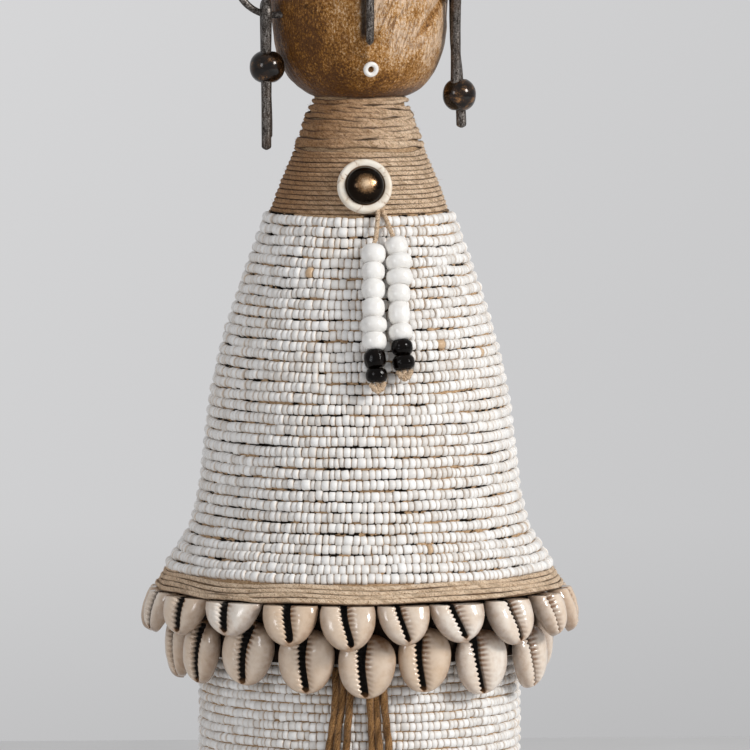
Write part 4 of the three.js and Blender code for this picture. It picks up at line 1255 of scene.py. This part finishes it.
def cowry(width, length, depth, slit, stations, dice):
    """A cowry seen from its slit side, the long axis along Z and the slit towards -Y. Its half width is
    w (1 - |t|^2.2)^(1/2.2) (1 + 0.1 t) at share t along it. Across, a low superellipse stands on a flat
    back, and both bodies sink towards the slit by a bell curve. The slit lies at s + lean (sqrt(t^2 + 0.1)
    - t) / 2. Its left lip has round teeth, and from its right lip ribs fan out, each along
    t0 = (t + 0.1 q) / (1 + 0.55 q) at distance q. Returns rings, depth in the slit, the slit's ends, and
    the darkening: painted shade towards the edges, between the ribs and in the hollow beside the slit."""
    ends = np.array([0.93, 0.965, 0.985, 0.997])
    t = np.concatenate([-ends[::-1], np.linspace(-0.9, 0.9, stations), ends])
    full = (1 - np.abs(t) ** SHELL_POWER) ** (1 / SHELL_POWER) * (1 + 0.1 * t)
    half = (width / 2 * full)[:, None]
    rise = (depth * full**0.7)[:, None]
    t = t[:, None]
    tooth = (0.5 + 0.5 * np.cos(np.pi * SHELL_TEETH * t)) ** 0.8
    taper = np.sqrt(1 - np.abs(np.clip(t / 0.955, -1, 1)) ** 16)
    lean = dice.uniform(0.26, 0.32)
    drift = slit + 0.03 + lean * (np.sqrt(t**2 + 0.1) - t - 0.3) / 2
    middle = width / 2 * drift * np.minimum(1, full[:, None] * 1.4)
    opening = SLIT_HALF_WIDTH * width * dice.uniform(0.92, 1.12) * (1 + 0.4 * smooth(t, 0.1, 0.8)) * taper
    left = middle - opening * (1.4 - 0.62 * tooth)
    right = middle + opening
    from_edge = np.sin(np.linspace(0, 1, 12) * np.pi / 2) ** 1.1
    left_angle, right_angle = np.arcsin(left / half), np.arcsin(right / half)
    left_side = half * np.sin(-np.pi / 2 + (left_angle + np.pi / 2) * from_edge)
    right_side = half * np.sin(np.pi / 2 - (np.pi / 2 - right_angle) * from_edge[::-1])
    wall = [left + 0.12 * (middle - left), middle - 0.5 * (middle - left), middle + 0.5 * (right - middle),
            right - 0.12 * (right - middle)]
    x = np.hstack([left_side, *wall, right_side])
    across = np.clip(np.abs(x / half), 0, 1)
    out = SHELL_EDGE + (1 - SHELL_EDGE) * (1 - across**2.6) ** (1 / 2.6)
    away = (x - middle) / half
    dip = np.where(away > 0, 0.28 * np.exp(-((away / 0.36) ** 2)), 0.14 * np.exp(-((away / 0.2) ** 2)))
    out -= dip * taper
    out *= rise
    left_away, right_away = np.clip(left - x, 0, None), np.clip(x - right, 0, None)
    out -= 0.32 * np.exp(-(left_away + right_away) / 0.35) * taper
    share = right_away / (width / 2)
    fan = 0.5 + 0.5 * np.cos(np.pi * SHELL_TEETH * (t + 0.1 * share) / (1 + 0.55 * share))
    strength = 0.06 + 0.17 * smooth(t, -0.5, 0.4) * dice.uniform(0.7, 1.3)
    ribbed = (x > middle) * (1 - smooth(share, 0.1, 0.45)) * strength
    toothed = (x < middle) * (1 - smooth(left_away, 0.3, 1.9)) * 0.2
    out += (ribbed * (fan**2 - 0.4) + toothed * (tooth - 0.5)) * taper
    out += 0.05 * lumps(np.stack([x, out, np.broadcast_to(t * length / 2, x.shape)], axis=-1), dice, 3.2)
    closed = taper * (1 - 0.6 * smooth(np.abs(t), 0.8, 0.93))
    sunk = np.ones((len(t), 4)) * [0.6, 1, 1, 0.6]
    sunk = np.hstack([np.zeros_like(left_side), sunk, np.zeros_like(right_side)])
    out -= SLIT_DEPTH * sunk * closed
    # Painted shade: darker between the ribs, towards the edges and in the hollow right of the slit.
    grooves = 5 * ribbed * (1 - fan) * (1 - smooth(share, 0.04, 0.3))
    darkening = 0.42 * smooth(across, 0.6, 1) + grooves + 0.25 * np.exp(-(((away - 0.12) / 0.2) ** 2)) * (away > 0)
    under = np.linspace(0, np.pi, 8)[1:-1]
    back_x = half * np.sign(np.cos(under)) * np.abs(np.cos(under)) ** 0.7
    back_out = rise * SHELL_EDGE * (1 - np.sin(under) ** 0.5)
    x = np.hstack([x, back_x])
    out = np.hstack([np.maximum(out, 0.02), back_out])
    z = np.broadcast_to(t * length / 2, x.shape)
    sunk = np.hstack([sunk * taper, np.zeros_like(back_x)])
    darkening = np.hstack([darkening, np.full_like(back_x, 0.3)])
    tips = smooth(np.abs(t), 0.78, 0.88) * np.exp(-(np.abs(x - middle) / (0.07 * width)) ** 4)
    return np.stack([x, -out, z], axis=-1), sunk, tips, darkening


def shell_places(row):
    """The shells in front as they hang, and the rest evenly round the back."""
    first, last = row["seen"][0][0], row["seen"][-1][0]
    hidden = row["count"] - len(row["seen"])
    step = (360 + first - last) / (hidden + 1)
    places = list(row["seen"])
    for shell in range(1, hidden + 1):
        turn, swing = last + shell * step, np.sin(2.4 * shell)
        roll, height = HIDDEN_ROLL * swing, row["height"] + HIDDEN_DROP * swing
        places.append((turn, row["width"], turn, HIDDEN_SLIT, roll, height))
    return places


def shell_turn(turn, tilt, roll):
    """The matrix Rz(turn) Rx(tilt) Ry(roll), for points in rows."""
    cz, sz = np.cos(np.radians(turn)), np.sin(np.radians(turn))
    cx, sx = np.cos(np.radians(tilt)), np.sin(np.radians(tilt))
    cy, sy = np.cos(np.radians(roll)), np.sin(np.radians(roll))
    about_z = np.array([[cz, -sz, 0], [sz, cz, 0], [0, 0, 1]])
    about_x = np.array([[1, 0, 0], [0, cx, -sx], [0, sx, cx]])
    about_y = np.array([[cy, 0, sy], [0, 1, 0], [-sy, 0, cy]])
    return (about_z @ about_x @ about_y).T


def make_shells(row, dice):
    """One row of shells, each in its node's place. What rises above the ceiling is cut off level."""
    for index, (turn, width, face, slit, roll, height) in enumerate(shell_places(row)):
        stations = SEEN_STATIONS if index < len(row["seen"]) else HIDDEN_STATIONS
        rings, sunk, tips, darkening = cowry(width, row["length"], row["depth"], slit, stations, dice)
        place = around(turn, row["back"], height)
        turned = rings @ shell_turn(face, -row["tilt"], -roll) + place
        turned[..., 2] = np.minimum(turned[..., 2], SHELL_CEILING)
        share = rings[..., 2] / (row["length"] / 2)
        start = row["browned_from"]
        # Browner towards the upper end, taken together with the cowry's painted shade.
        browned_top = smooth(share + 0.12 * lumps(rings, dice, 5), start, start + 0.5)
        shade_and_browning = np.maximum(darkening, browned_top * dice.uniform(0.45, 1))
        values = np.stack([shade_and_browning, sunk, tips], axis=-1).reshape(-1, 3)
        values = np.vstack([values, [[0, 0, 0.5], [0, 0, 0.5]]])
        piece(
            f"shell_{row['name']}_{index + 1:02d}", skin(turned[:, ::-1]), FINISHES["cowry"],
            [f"cowry_{row['name']}_{index + 1:02d}"],
            {"shell": reversed_sides(values, rings.shape), "tone": np.full(len(values), dice.uniform(0, 1))},
        )


def reversed_sides(values, shape):
    """Point values for rings whose sides are taken the other way round."""
    grid = values[:-2].reshape(shape[0], shape[1], 3)[:, ::-1].reshape(-1, 3)
    return np.vstack([grid, values[-2:]])


make_shells(UPPER, dice)
make_shells(LOWER, dice)


# Head

HEAD_MIDDLE = np.array([0.0, 0.0, HEAD_WIDEST])
HOLE = (-17.2, 284.6)


def head_share(height):
    """Half width of the head at a height, as a share of its greatest: a half circle above its widest
    height and a fuller superellipse below it."""
    above = height > HEAD_WIDEST
    reach = np.where(above, HEAD_CROWN - HEAD_WIDEST, HEAD_WIDEST - HEAD_CHIN)
    power = np.where(above, 2.0, JAW_POWER)
    away = np.clip(np.abs(height - HEAD_WIDEST) / reach, 0, 1)
    return (1 - away**power) ** (1 / power)


def hair_share(points):
    """One where the hair stands proud, above a line from the brow round to the nape."""
    turn = np.arctan2(points[..., 0], -points[..., 1])
    front = (np.cos(turn) + 1) / 2
    line = HAIRLINE_NAPE + (HAIRLINE_FRONT - HAIRLINE_NAPE) * front**1.5
    return smooth(points[..., 2], line - 1.5, line + 1.5)


def in_head(points):
    """True inside the head: its level sections are ovals, deeper at the nape, with a ridge down the face."""
    x, y, z = points[..., 0], points[..., 1], points[..., 2]
    share = head_share(z)
    hair = HAIR_RISE * hair_share(points)
    depth = np.where(y < 0, FACE_DEPTH, NAPE_DEPTH) + hair
    ridge = np.where(y < 0, FACE_RIDGE * share * np.clip(1 - np.abs(x) / FACE_RIDGE_REACH, 0, 1), 0)
    oval = (x / (HEAD_HALF_WIDTH + hair)) ** 2 + (np.minimum(y + ridge, 0) + np.maximum(y, 0)) ** 2 / depth**2
    return (oval < share**2) & (z > NECK_TOP - 0.7)


def head_reach(directions):
    """Distance from the head's middle to its skin in each direction, by halving the interval 24 times."""
    low = np.zeros(directions.shape[:-1])
    high = np.full(directions.shape[:-1], 60.0)
    for _ in range(24):
        middle = (low + high) / 2
        inside = in_head(HEAD_MIDDLE + directions * middle[..., None])
        low, high = np.where(inside, middle, low), np.where(inside, high, middle)
    return low


def crest_reach(directions):
    """Distance to the crest's top line: the head's profile raised by a sine between its two ends, and
    nought beyond them."""
    y, z = directions[..., 1], directions[..., 2]
    depth = np.where(y < 0, FACE_DEPTH, NAPE_DEPTH)
    angle = np.degrees(np.arctan2(z / (HEAD_CROWN - HEAD_WIDEST), -y / depth))
    share = np.clip((angle - CREST_FROM) / (CREST_TO - CREST_FROM), 0, 1)
    rise = (CREST_TOP - HEAD_WIDEST) / (HEAD_CROWN - HEAD_WIDEST) - 1
    scale = 1 + rise * np.sin(np.pi * share)
    reach = scale / np.sqrt((y / depth) ** 2 + (z / (HEAD_CROWN - HEAD_WIDEST)) ** 2 + 1e-9)
    return np.where((angle > CREST_FROM) & (angle < CREST_TO), reach, 0)


def head_details(points):
    """Height of the fine carving over the head's skin, in millimetres: a short ridge under the nose, a
    groove down the right cheek, a small hole, a dent beside the mouth, and braids in the hair."""
    x, z = points[..., 0], points[..., 2]
    front = smooth(-points[..., 1], 2, 8)
    lip = 0.55 * np.exp(-(x / 0.8) ** 2) * smooth(z, 269.3, 270.6) * (1 - smooth(z, 273.8, 275))
    hole = -1.4 * np.exp(-(((x - HOLE[0]) ** 2 + (z - HOLE[1]) ** 2) / 0.16))
    dent = -0.8 * np.exp(-(((x + 2.7) ** 2 + (z - 270.2) ** 2) / 0.9))
    turn = np.degrees(np.arctan2(x, -points[..., 1]))
    braids = 0.42 * np.abs(np.sin(np.radians(turn) * 15)) * hair_share(points) * smooth(np.abs(x), 3, 6)
    return front * (lip + hole + dent) - 1.1 * cheek_groove(points) + braids


def cheek_groove(points):
    """One in the middle of the groove that runs from the right cheek up to the temple, and less beside it."""
    x, y, z = points[..., 0], points[..., 1], points[..., 2]
    line = 16.2 + 0.72 * (z - 277.5)
    return np.exp(-((x - line) / 1.25) ** 2) * smooth(z, 273, 278) * (1 - smooth(z, 288, 292)) * (y < 0)


def head_skin_point(turn, height):
    """The face's point at a turn and a height, and its outward normal, both in the head's own frame."""
    angle = np.radians(turn)

    def place(a, z):
        s = head_share(np.array(float(z)))
        x = HEAD_HALF_WIDTH * s * np.sin(a)
        ridge = FACE_RIDGE * s * max(0, 1 - abs(x) / FACE_RIDGE_REACH)
        return np.array([x, -FACE_DEPTH * s * np.cos(a) - ridge, float(z)])

    here = place(angle, height)
    normal = np.cross(place(angle + 0.035, height) - here, place(angle, height + 1) - here)
    return here, unit(normal)


def make_head(dice):
    """The head as distance from its middle over a grid of directions whose poles are at the ears, so
    that the crest runs along the grid. Crest and head are joined by the larger of the two distances."""
    longitude = np.linspace(0, 2 * np.pi, 221)[:-1]
    longitude = longitude - 0.28 * np.sin(longitude + np.radians(30))
    latitude = np.radians(np.linspace(-89.4, 89.4, 129))
    latitude = latitude - 0.32 * np.sin(2 * latitude) / 2
    lon, lat = longitude[None, :], latitude[:, None]
    directions = np.stack(np.broadcast_arrays(
        np.sin(lat), -np.cos(lat) * np.cos(lon), np.cos(lat) * np.sin(lon),
    ), axis=-1)
    plain = head_reach(directions)
    crest = crest_reach(directions)
    width = np.abs(directions[..., 0]) * plain
    wall = 1 - smooth(width, CREST_THICKNESS / 2 - 0.9, CREST_THICKNESS / 2 + 0.1)
    reach = plain + np.clip(crest - plain, 0, None) * wall
    points = HEAD_MIDDLE + directions * reach[..., None]
    tooled = 0.16 * lumps(points, dice, 9) + 0.07 * lumps(points, dice, 3.5)
    points = points + directions * (head_details(points) + tooled)[..., None]
    shape = skin(points[:, ::-1])
    flat = shape[0]
    x, y, z = flat.T
    # Patina and painted shade: darker on the left side, away from the key light, and lower down.
    dark_side = 0.9 - 0.84 * smooth(x + 0.25 * (z - 272), -15, 12)
    golden = -0.22 * np.exp(-(((x + 8) / 5.5) ** 2 + ((z - 276) / 9) ** 2))
    # Darker towards the lower jaw.
    low_jaw = 0.46 * (1 - smooth(z, 262, 275)) * smooth(x, -4, 4)
    low_jaw = low_jaw + 0.25 * (1 - smooth(z, 262, 272)) * (1 - smooth(x, -8, 4))
    # Painted shade under the chin, where the head meets the neck.
    under_chin_shade = 0.4 * (1 - smooth(z, 257.5, 262.5))
    mottle = 0.16 * lumps(flat, dice, 11) + 0.07 * lumps(flat, dice, 4)
    patina_and_shade = dark_side + golden + low_jaw + under_chin_shade + mottle
    # Painted shade in the cheek groove, and darker hair.
    patina_and_shade = patina_and_shade + 0.55 * cheek_groove(flat) + 0.5 * hair_share(flat)
    # Painted shadow: near black just left of the nose rod.
    rod_shadow = np.exp(-((x + 1.45) / 1.0) ** 4) * smooth(z, 274.5, 277.5) * (1 - smooth(z, 305, 308))
    rod_shadow = rod_shadow * (y < 0)
    # Painted shade in the small hole.
    hole = np.exp(-(((x - HOLE[0]) ** 2 + (z - HOLE[1]) ** 2) / 0.22)) * (y < 0)
    turned = (turned_about_z(flat, HEAD_TURN), shape[1])
    values = {"patina_and_shade": np.clip(patina_and_shade, 0, 1), "painted_shade": np.clip(0.92 * rod_shadow + hole, 0, 1)}
    piece("head_carving", turned, FINISHES["head_wood"], ["carved_head"], values)


def make_nose():
    """The rod down the face: a tube along the ridge of the face, its radius a quarter circle at the
    lower end."""
    heights = np.linspace(NOSE_BOTTOM, NOSE_TOP, 40)
    spots = [head_skin_point(0, height) for height in heights]
    path = np.array([here + normal * (NOSE_RADIUS + FACE_GAP) for here, normal in spots])
    outward = np.array([normal for _, normal in spots])
    share = np.linspace(0, 1, len(path))
    radius = NOSE_RADIUS * np.sqrt(np.clip(1 - (1 - np.clip(share / 0.05, 0, 1)) ** 2, 0.05, 1))
    points, triangles = skin(tube(path, outward, radius[:, None], 16))
    shape = (turned_about_z(points, HEAD_TURN), triangles)
    piece("nose_rod", shape, FINISHES["iron"], ["nose_strip"])


def ring_bead(centre, normal):
    """A small ring: a circle of radius r carried round a circle of radius R about the normal."""
    side = unit(np.cross(normal, (0.0, 0.0, 1.0)))
    up = np.cross(normal, side)
    big = np.arange(36) * 2 * np.pi / 36
    small = np.arange(14) * 2 * np.pi / 14
    spoke = np.cos(big)[:, None] * side + np.sin(big)[:, None] * up
    radial = (RING_BEAD_RADIUS + RING_BEAD_TUBE * np.cos(small))[None, :, None] * spoke[:, None]
    return centre + radial + (RING_BEAD_TUBE * np.sin(small))[None, :, None] * normal


def make_face_beads():
    """The mouth's ring bead and those of the eyes."""
    for name, turn, height, upright in (
        ("mouth_bead", MOUTH_TURN, MOUTH_HEIGHT, MOUTH_UPRIGHT), ("eye_bead_left", -EYE_TURN, EYE_HEIGHT, 0),
        ("eye_bead_right", EYE_TURN, EYE_HEIGHT, 0),
    ):
        here, normal = head_skin_point(turn, height)
        centre = here + normal * (RING_BEAD_TUBE + FACE_GAP + RING_BEAD_LIFT * upright)
        facing = unit(normal * (1, 1, 1 - upright))
        points, triangles = skin(ring_bead(centre, facing)[:, ::-1], closed=True)
        shape = (turned_about_z(points, HEAD_TURN), triangles)
        piece(f"{name}_glass", shape, FINISHES["ring_bead"], [name])


make_head(dice)
make_nose()
make_face_beads()


# Ears

def make_ears(dice):
    """For each ear a wire ring, a hairpin bent over it, and the bead that holds the hairpin's legs."""
    for ear in EARS:
        sign, ring_x, ring_z = ear["sign"], ear["ring_x"], ear["ring_z"]
        angle = np.radians(np.linspace(0, 180, 60))
        arc = np.stack([
            ring_x + sign * EAR_RING_RADIUS * np.sin(angle),
            np.full_like(angle, EAR_PLANE),
            ring_z - EAR_RING_RADIUS * np.cos(angle),
        ], axis=-1)
        inner = ring_x - sign * EAR_LEG
        legs = [np.array([[inner, EAR_PLANE, ring_z + way * EAR_RING_RADIUS]]) for way in (-1, 1)]
        path = even(np.vstack([legs[0], arc, legs[1]]), 90)
        outward = np.tile((0.0, -1.0, 0.0), (len(path), 1))
        radius = EAR_WIRE_RADIUS * (1 + 0.04 * wobble(np.linspace(0, 360, len(path)), dice, 2, 12))
        add_ear_piece(f"ear_{ear['side']}_ring", tube(path, outward, radius[:, None], 14), "iron",
                      f"ear_ring_{ear['side']}")

        reach = abs(ear["pin_x"] - ring_x)
        over = ring_z - np.sqrt(EAR_RING_RADIUS**2 - reach**2)
        bend = np.radians(np.linspace(0, 180, 24))
        legs = np.array([
            (-PIN_LEG_OFFSET, ear["front_end"]), (-PIN_LEG_OFFSET, ear["front_end"] + 8),
            (-PIN_LEG_OFFSET, over - PIN_CLOSED),
        ])
        hook = np.stack([-PIN_BEND_RADIUS * np.cos(bend), over + PIN_BEND_RADIUS * np.sin(bend)], axis=-1)
        back = np.array([(PIN_LEG_OFFSET, over - PIN_CLOSED), (PIN_LEG_OFFSET, ear["back_end"] + 8),
                         (PIN_LEG_OFFSET, ear["back_end"])])
        side_line = spline(np.vstack([legs, hook[::4], back]), 170)
        drop = smooth(over - side_line[:, 1], PIN_CLOSED, over - ear["back_end"])
        lean = ear["lean"] * (side_line[:, 0] > 0) * drop
        path = np.stack([ear["pin_x"] + lean, EAR_PLANE + side_line[:, 0], side_line[:, 1]], axis=-1)
        outward = np.tile((1.0, 0.0, 0.0), (len(path), 1))
        share = np.linspace(0, 1, len(path))
        ends = np.sqrt(np.clip(1 - (1 - np.clip(np.minimum(share, 1 - share) / 0.012, 0, 1)) ** 2, 0.06, 1))
        radius = PIN_WIRE_RADIUS * ends * (1 + 0.03 * wobble(share * 360, dice, 2, 12))
        add_ear_piece(f"ear_{ear['side']}_hairpin", tube(path, outward, radius[:, None], 16), "iron",
                      f"ear_pin_{ear['side']}")
        make_ear_bead(ear, dice)


def add_ear_piece(name, rings, finish, node, closed=False):
    """A piece of an ear, turned with the head."""
    points, triangles = skin(rings, closed)
    piece(name, (turned_about_z(points, HEAD_TURN), triangles), FINISHES[finish], [node])


def make_ear_bead(ear, dice):
    """A drilled bead: its outline is a superellipse of power 2.2 cut off where it meets the bore, closed
    along the bore."""
    half, radius, power = ear["bead_length"] / 2, ear["bead_radius"], 2.2
    reach = (1 - (EAR_BEAD_MOUTH / radius) ** power) ** (1 / power)
    share = np.sin(np.linspace(-1, 1, 25) * np.pi / 2)
    bulge = radius * (1 - np.abs(share * reach) ** power) ** (1 / power)
    outer = np.stack([bulge, half * share], axis=-1)
    bore = [(EAR_BEAD_MOUTH, half * 0.8), (EAR_BEAD_MOUTH, 0), (EAR_BEAD_MOUTH, -half * 0.8)]
    rings = lathe(np.vstack([outer, bore]), 48)
    rings = rings + unit(rings * (1, 1, 0)) * (0.03 * lumps(rings, dice, 5))[..., None]
    rings = rings + (ear["pin_x"] + ear["lean"] * BEAD_SHIFT, EAR_PLANE, ear["bead_z"])
    side = ear["side"]
    add_ear_piece(f"ear_{side}_bead", rings, "ear_bead", f"ear_bead_{side}", closed=True)


make_ears(dice)


# Brooch

def on_brooch(points):
    """Points of the brooch's own frame, its axis along Z, put on the breast, tipped up by its lift and
    turned a little."""
    tip = np.radians(90 - BROOCH_LIFT)
    about_x = np.array([[1, 0, 0], [0, np.cos(tip), -np.sin(tip)], [0, np.sin(tip), np.cos(tip)]])
    place = around(0, float(crest_radius(BROOCH_HEIGHT)) + BROOCH_GAP, BROOCH_HEIGHT)
    return turned_about_z(points @ about_x.T, BROOCH_TURN) + place


# Cracks in the bone, as turn, depth, degrees of lean for each millimetre outwards, inner and outer end
BONE_CRACKS = (
    (38, 0.9, 5, 5.6, 7.9), (72, 0.6, -4, 6.3, 7.9), (112, 0.9, 9, 5.6, 7.9), (141, 0.5, -3, 5.6, 7.0),
    (196, 0.8, 3, 5.6, 7.9), (238, 1.0, 12, 5.6, 7.9), (263, 0.7, -9, 6.0, 7.9), (305, 0.8, 2, 5.6, 7.2),
    (352, 0.7, -5, 5.6, 7.9),
)


def make_brooch():
    """A bone ring with a recess, its cracks running outwards at a lean, and a bronze dome in it. Each
    crack is a bell curve of the angle away from its line."""
    round_edge = np.radians(np.linspace(-80, 80, 9))
    half = DISC_THICKNESS / 2
    rim = [(DISC_RADIUS - 0.7 + 0.7 * np.cos(a), half + half * np.sin(a)) for a in round_edge]
    outline = [
        (0.4, 0), (DISC_RADIUS - 1.4, 0), *rim, (DISC_RECESS + 1.2, DISC_THICKNESS + 0.05),
        (DISC_RECESS + 0.25, DISC_THICKNESS), (DISC_RECESS, DISC_THICKNESS - 0.2),
        (DISC_RECESS, DISC_FLOOR), (0.4, DISC_FLOOR),
    ]
    sides = 160
    rings = lathe(outline, sides)
    turn = np.arange(sides)[None, :] * 360 / sides
    girth = np.linalg.norm(rings[..., :2], axis=-1)
    crack = np.zeros(girth.shape)
    for place, depth, lean, inner, outer in BONE_CRACKS:
        away = (turn - place - lean * (girth - DISC_RECESS) + 180) % 360 - 180
        along = smooth(girth, inner - 0.2, inner + 0.2) * (1 - smooth(girth, outer - 0.2, outer + 0.2))
        crack = np.maximum(crack, depth * along * np.exp(-((away / 1.2) ** 2)))
    crack *= smooth(girth, DISC_RECESS - 0.1, DISC_RECESS + 0.2)
    rings[..., 2] -= 0.14 * crack * (rings[..., 2] > DISC_THICKNESS / 2)
    crack = np.maximum(crack, 1.0 - smooth(girth, DISC_RECESS, DISC_RECESS + 0.22))
    points, triangles = skin(rings)
    values = {"crack": np.append(crack.reshape(-1), [0, 0])}
    piece("brooch_bone", (on_brooch(points), triangles), FINISHES["bone"], ["brooch_disc"], values)

    angle = np.radians(np.linspace(0, 88, 26))
    dome = [(DOME_RADIUS * np.cos(a), DISC_FLOOR + DOME_HEIGHT * np.sin(a)) for a in angle]
    points, triangles = skin(lathe([(DOME_RADIUS - 0.2, DISC_FLOOR - 0.1), *dome], 72))
    girth = np.linalg.norm(points[:, :2], axis=1)
    # Painted highlight: gold towards the dome's middle.
    values = {"middle_highlight": np.clip(0.95 - girth / (0.68 * DOME_RADIUS), 0, 1)}
    shape = (on_brooch(points), triangles)
    piece("brooch_dome", shape, FINISHES["bronze"], ["brooch_stud"], values)


make_brooch()


# Floor, light and air

FLOOR_SIDE = 4.0
FLOOR_BACK = 0.65
AIR_GREY = 0.47
AIR_SHADES = ((0.0, 0.515), (0.3, 0.60), (1.0, 0.645))
AIR_LEFT, AIR_RIGHT = 1.04, 0.95


def make_stage():
    """A pale floor whose far edge lies low behind the doll."""
    mesh = bpy.data.meshes.new("floor")
    near, far = -FLOOR_SIDE, FLOOR_BACK
    corners = [(-FLOOR_SIDE, near, 0), (FLOOR_SIDE, near, 0), (FLOOR_SIDE, far, 0), (-FLOOR_SIDE, far, 0)]
    mesh.from_pydata(corners, [], [(0, 1, 2, 3)])
    mesh.materials.append(floor_finish())
    floor = bpy.data.objects.new("floor", mesh)
    bpy.context.scene.collection.objects.link(floor)


def make_air():
    """A soft grey room. Behind the doll it shades from the upper left down to the lower right."""
    world = bpy.data.worlds.new("room")
    bpy.context.scene.world = world
    world.use_nodes = True
    tree = world.node_tree

    def put(kind, inputs, **settings):
        return shader_node(tree, kind, inputs, settings).outputs

    azimuth, elevation = np.radians(CAMERA_AZIMUTH), np.radians(CAMERA_ELEVATION)
    right = (np.cos(azimuth), np.sin(azimuth), 0)
    up = (-np.sin(azimuth) * np.sin(elevation), np.cos(azimuth) * np.sin(elevation), np.cos(elevation))
    reach = PHOTO_PIXELS / 2 / (CAMERA_DISTANCE * PIXELS_PER_MM)
    way = put("TexCoord", {})["Generated"]
    across = put("VectorMath", {0: way, 1: right}, operation="DOT_PRODUCT")["Value"]
    above = put("VectorMath", {0: way, 1: up}, operation="DOT_PRODUCT")["Value"]
    across = put("MapRange", {0: across, 1: -reach, 2: reach, 3: AIR_LEFT, 4: AIR_RIGHT})[0]
    above = put("MapRange", {0: above, 1: -reach, 2: reach})[0]
    shade = put("ValToRGB", {"Fac": above})
    stops = shade[0].node.color_ramp
    for share, grey in AIR_SHADES:
        element = stops.elements.new(share) if 0 < share < 1 else stops.elements[0 if share == 0 else -1]
        element.color = (grey, grey, grey * 1.012, 1)
    seen = put("VectorMath", {0: shade[0], 3: across}, operation="SCALE")[0]
    straight = put("LightPath", {})["Is Camera Ray"]
    mixed = put("Mix", {0: straight, 6: (AIR_GREY, AIR_GREY, AIR_GREY * 1.02, 1), 7: seen}, data_type="RGBA")
    tree.links.new(mixed[2], tree.nodes["Background"].inputs["Color"])


def area_light(name, place, aim, size, watts, colour):
    """A square soft light at a place, turned to its aim, its side in metres and its power in watts."""
    data = bpy.data.lights.new(name, "AREA")
    data.size = size
    data.energy = watts
    data.color = colour
    lamp = bpy.data.objects.new(name, data)
    lamp.location = place
    lamp.rotation_mode = "QUATERNION"
    lamp.rotation_quaternion = (Vector(aim) - Vector(place)).to_track_quat("-Z", "Y")
    bpy.context.scene.collection.objects.link(lamp)


make_stage()
make_air()
area_light("key", (1.5, -1.15, 1.05), (0, 0, 0.2), 0.5, 29, (1.0, 0.985, 0.96))
area_light("fill", (-1.3, -1.5, 0.7), (0, 0, 0.18), 0.5, 4.5, (0.95, 0.97, 1.0))
bpy.context.scene.view_settings.view_transform = "Standard"
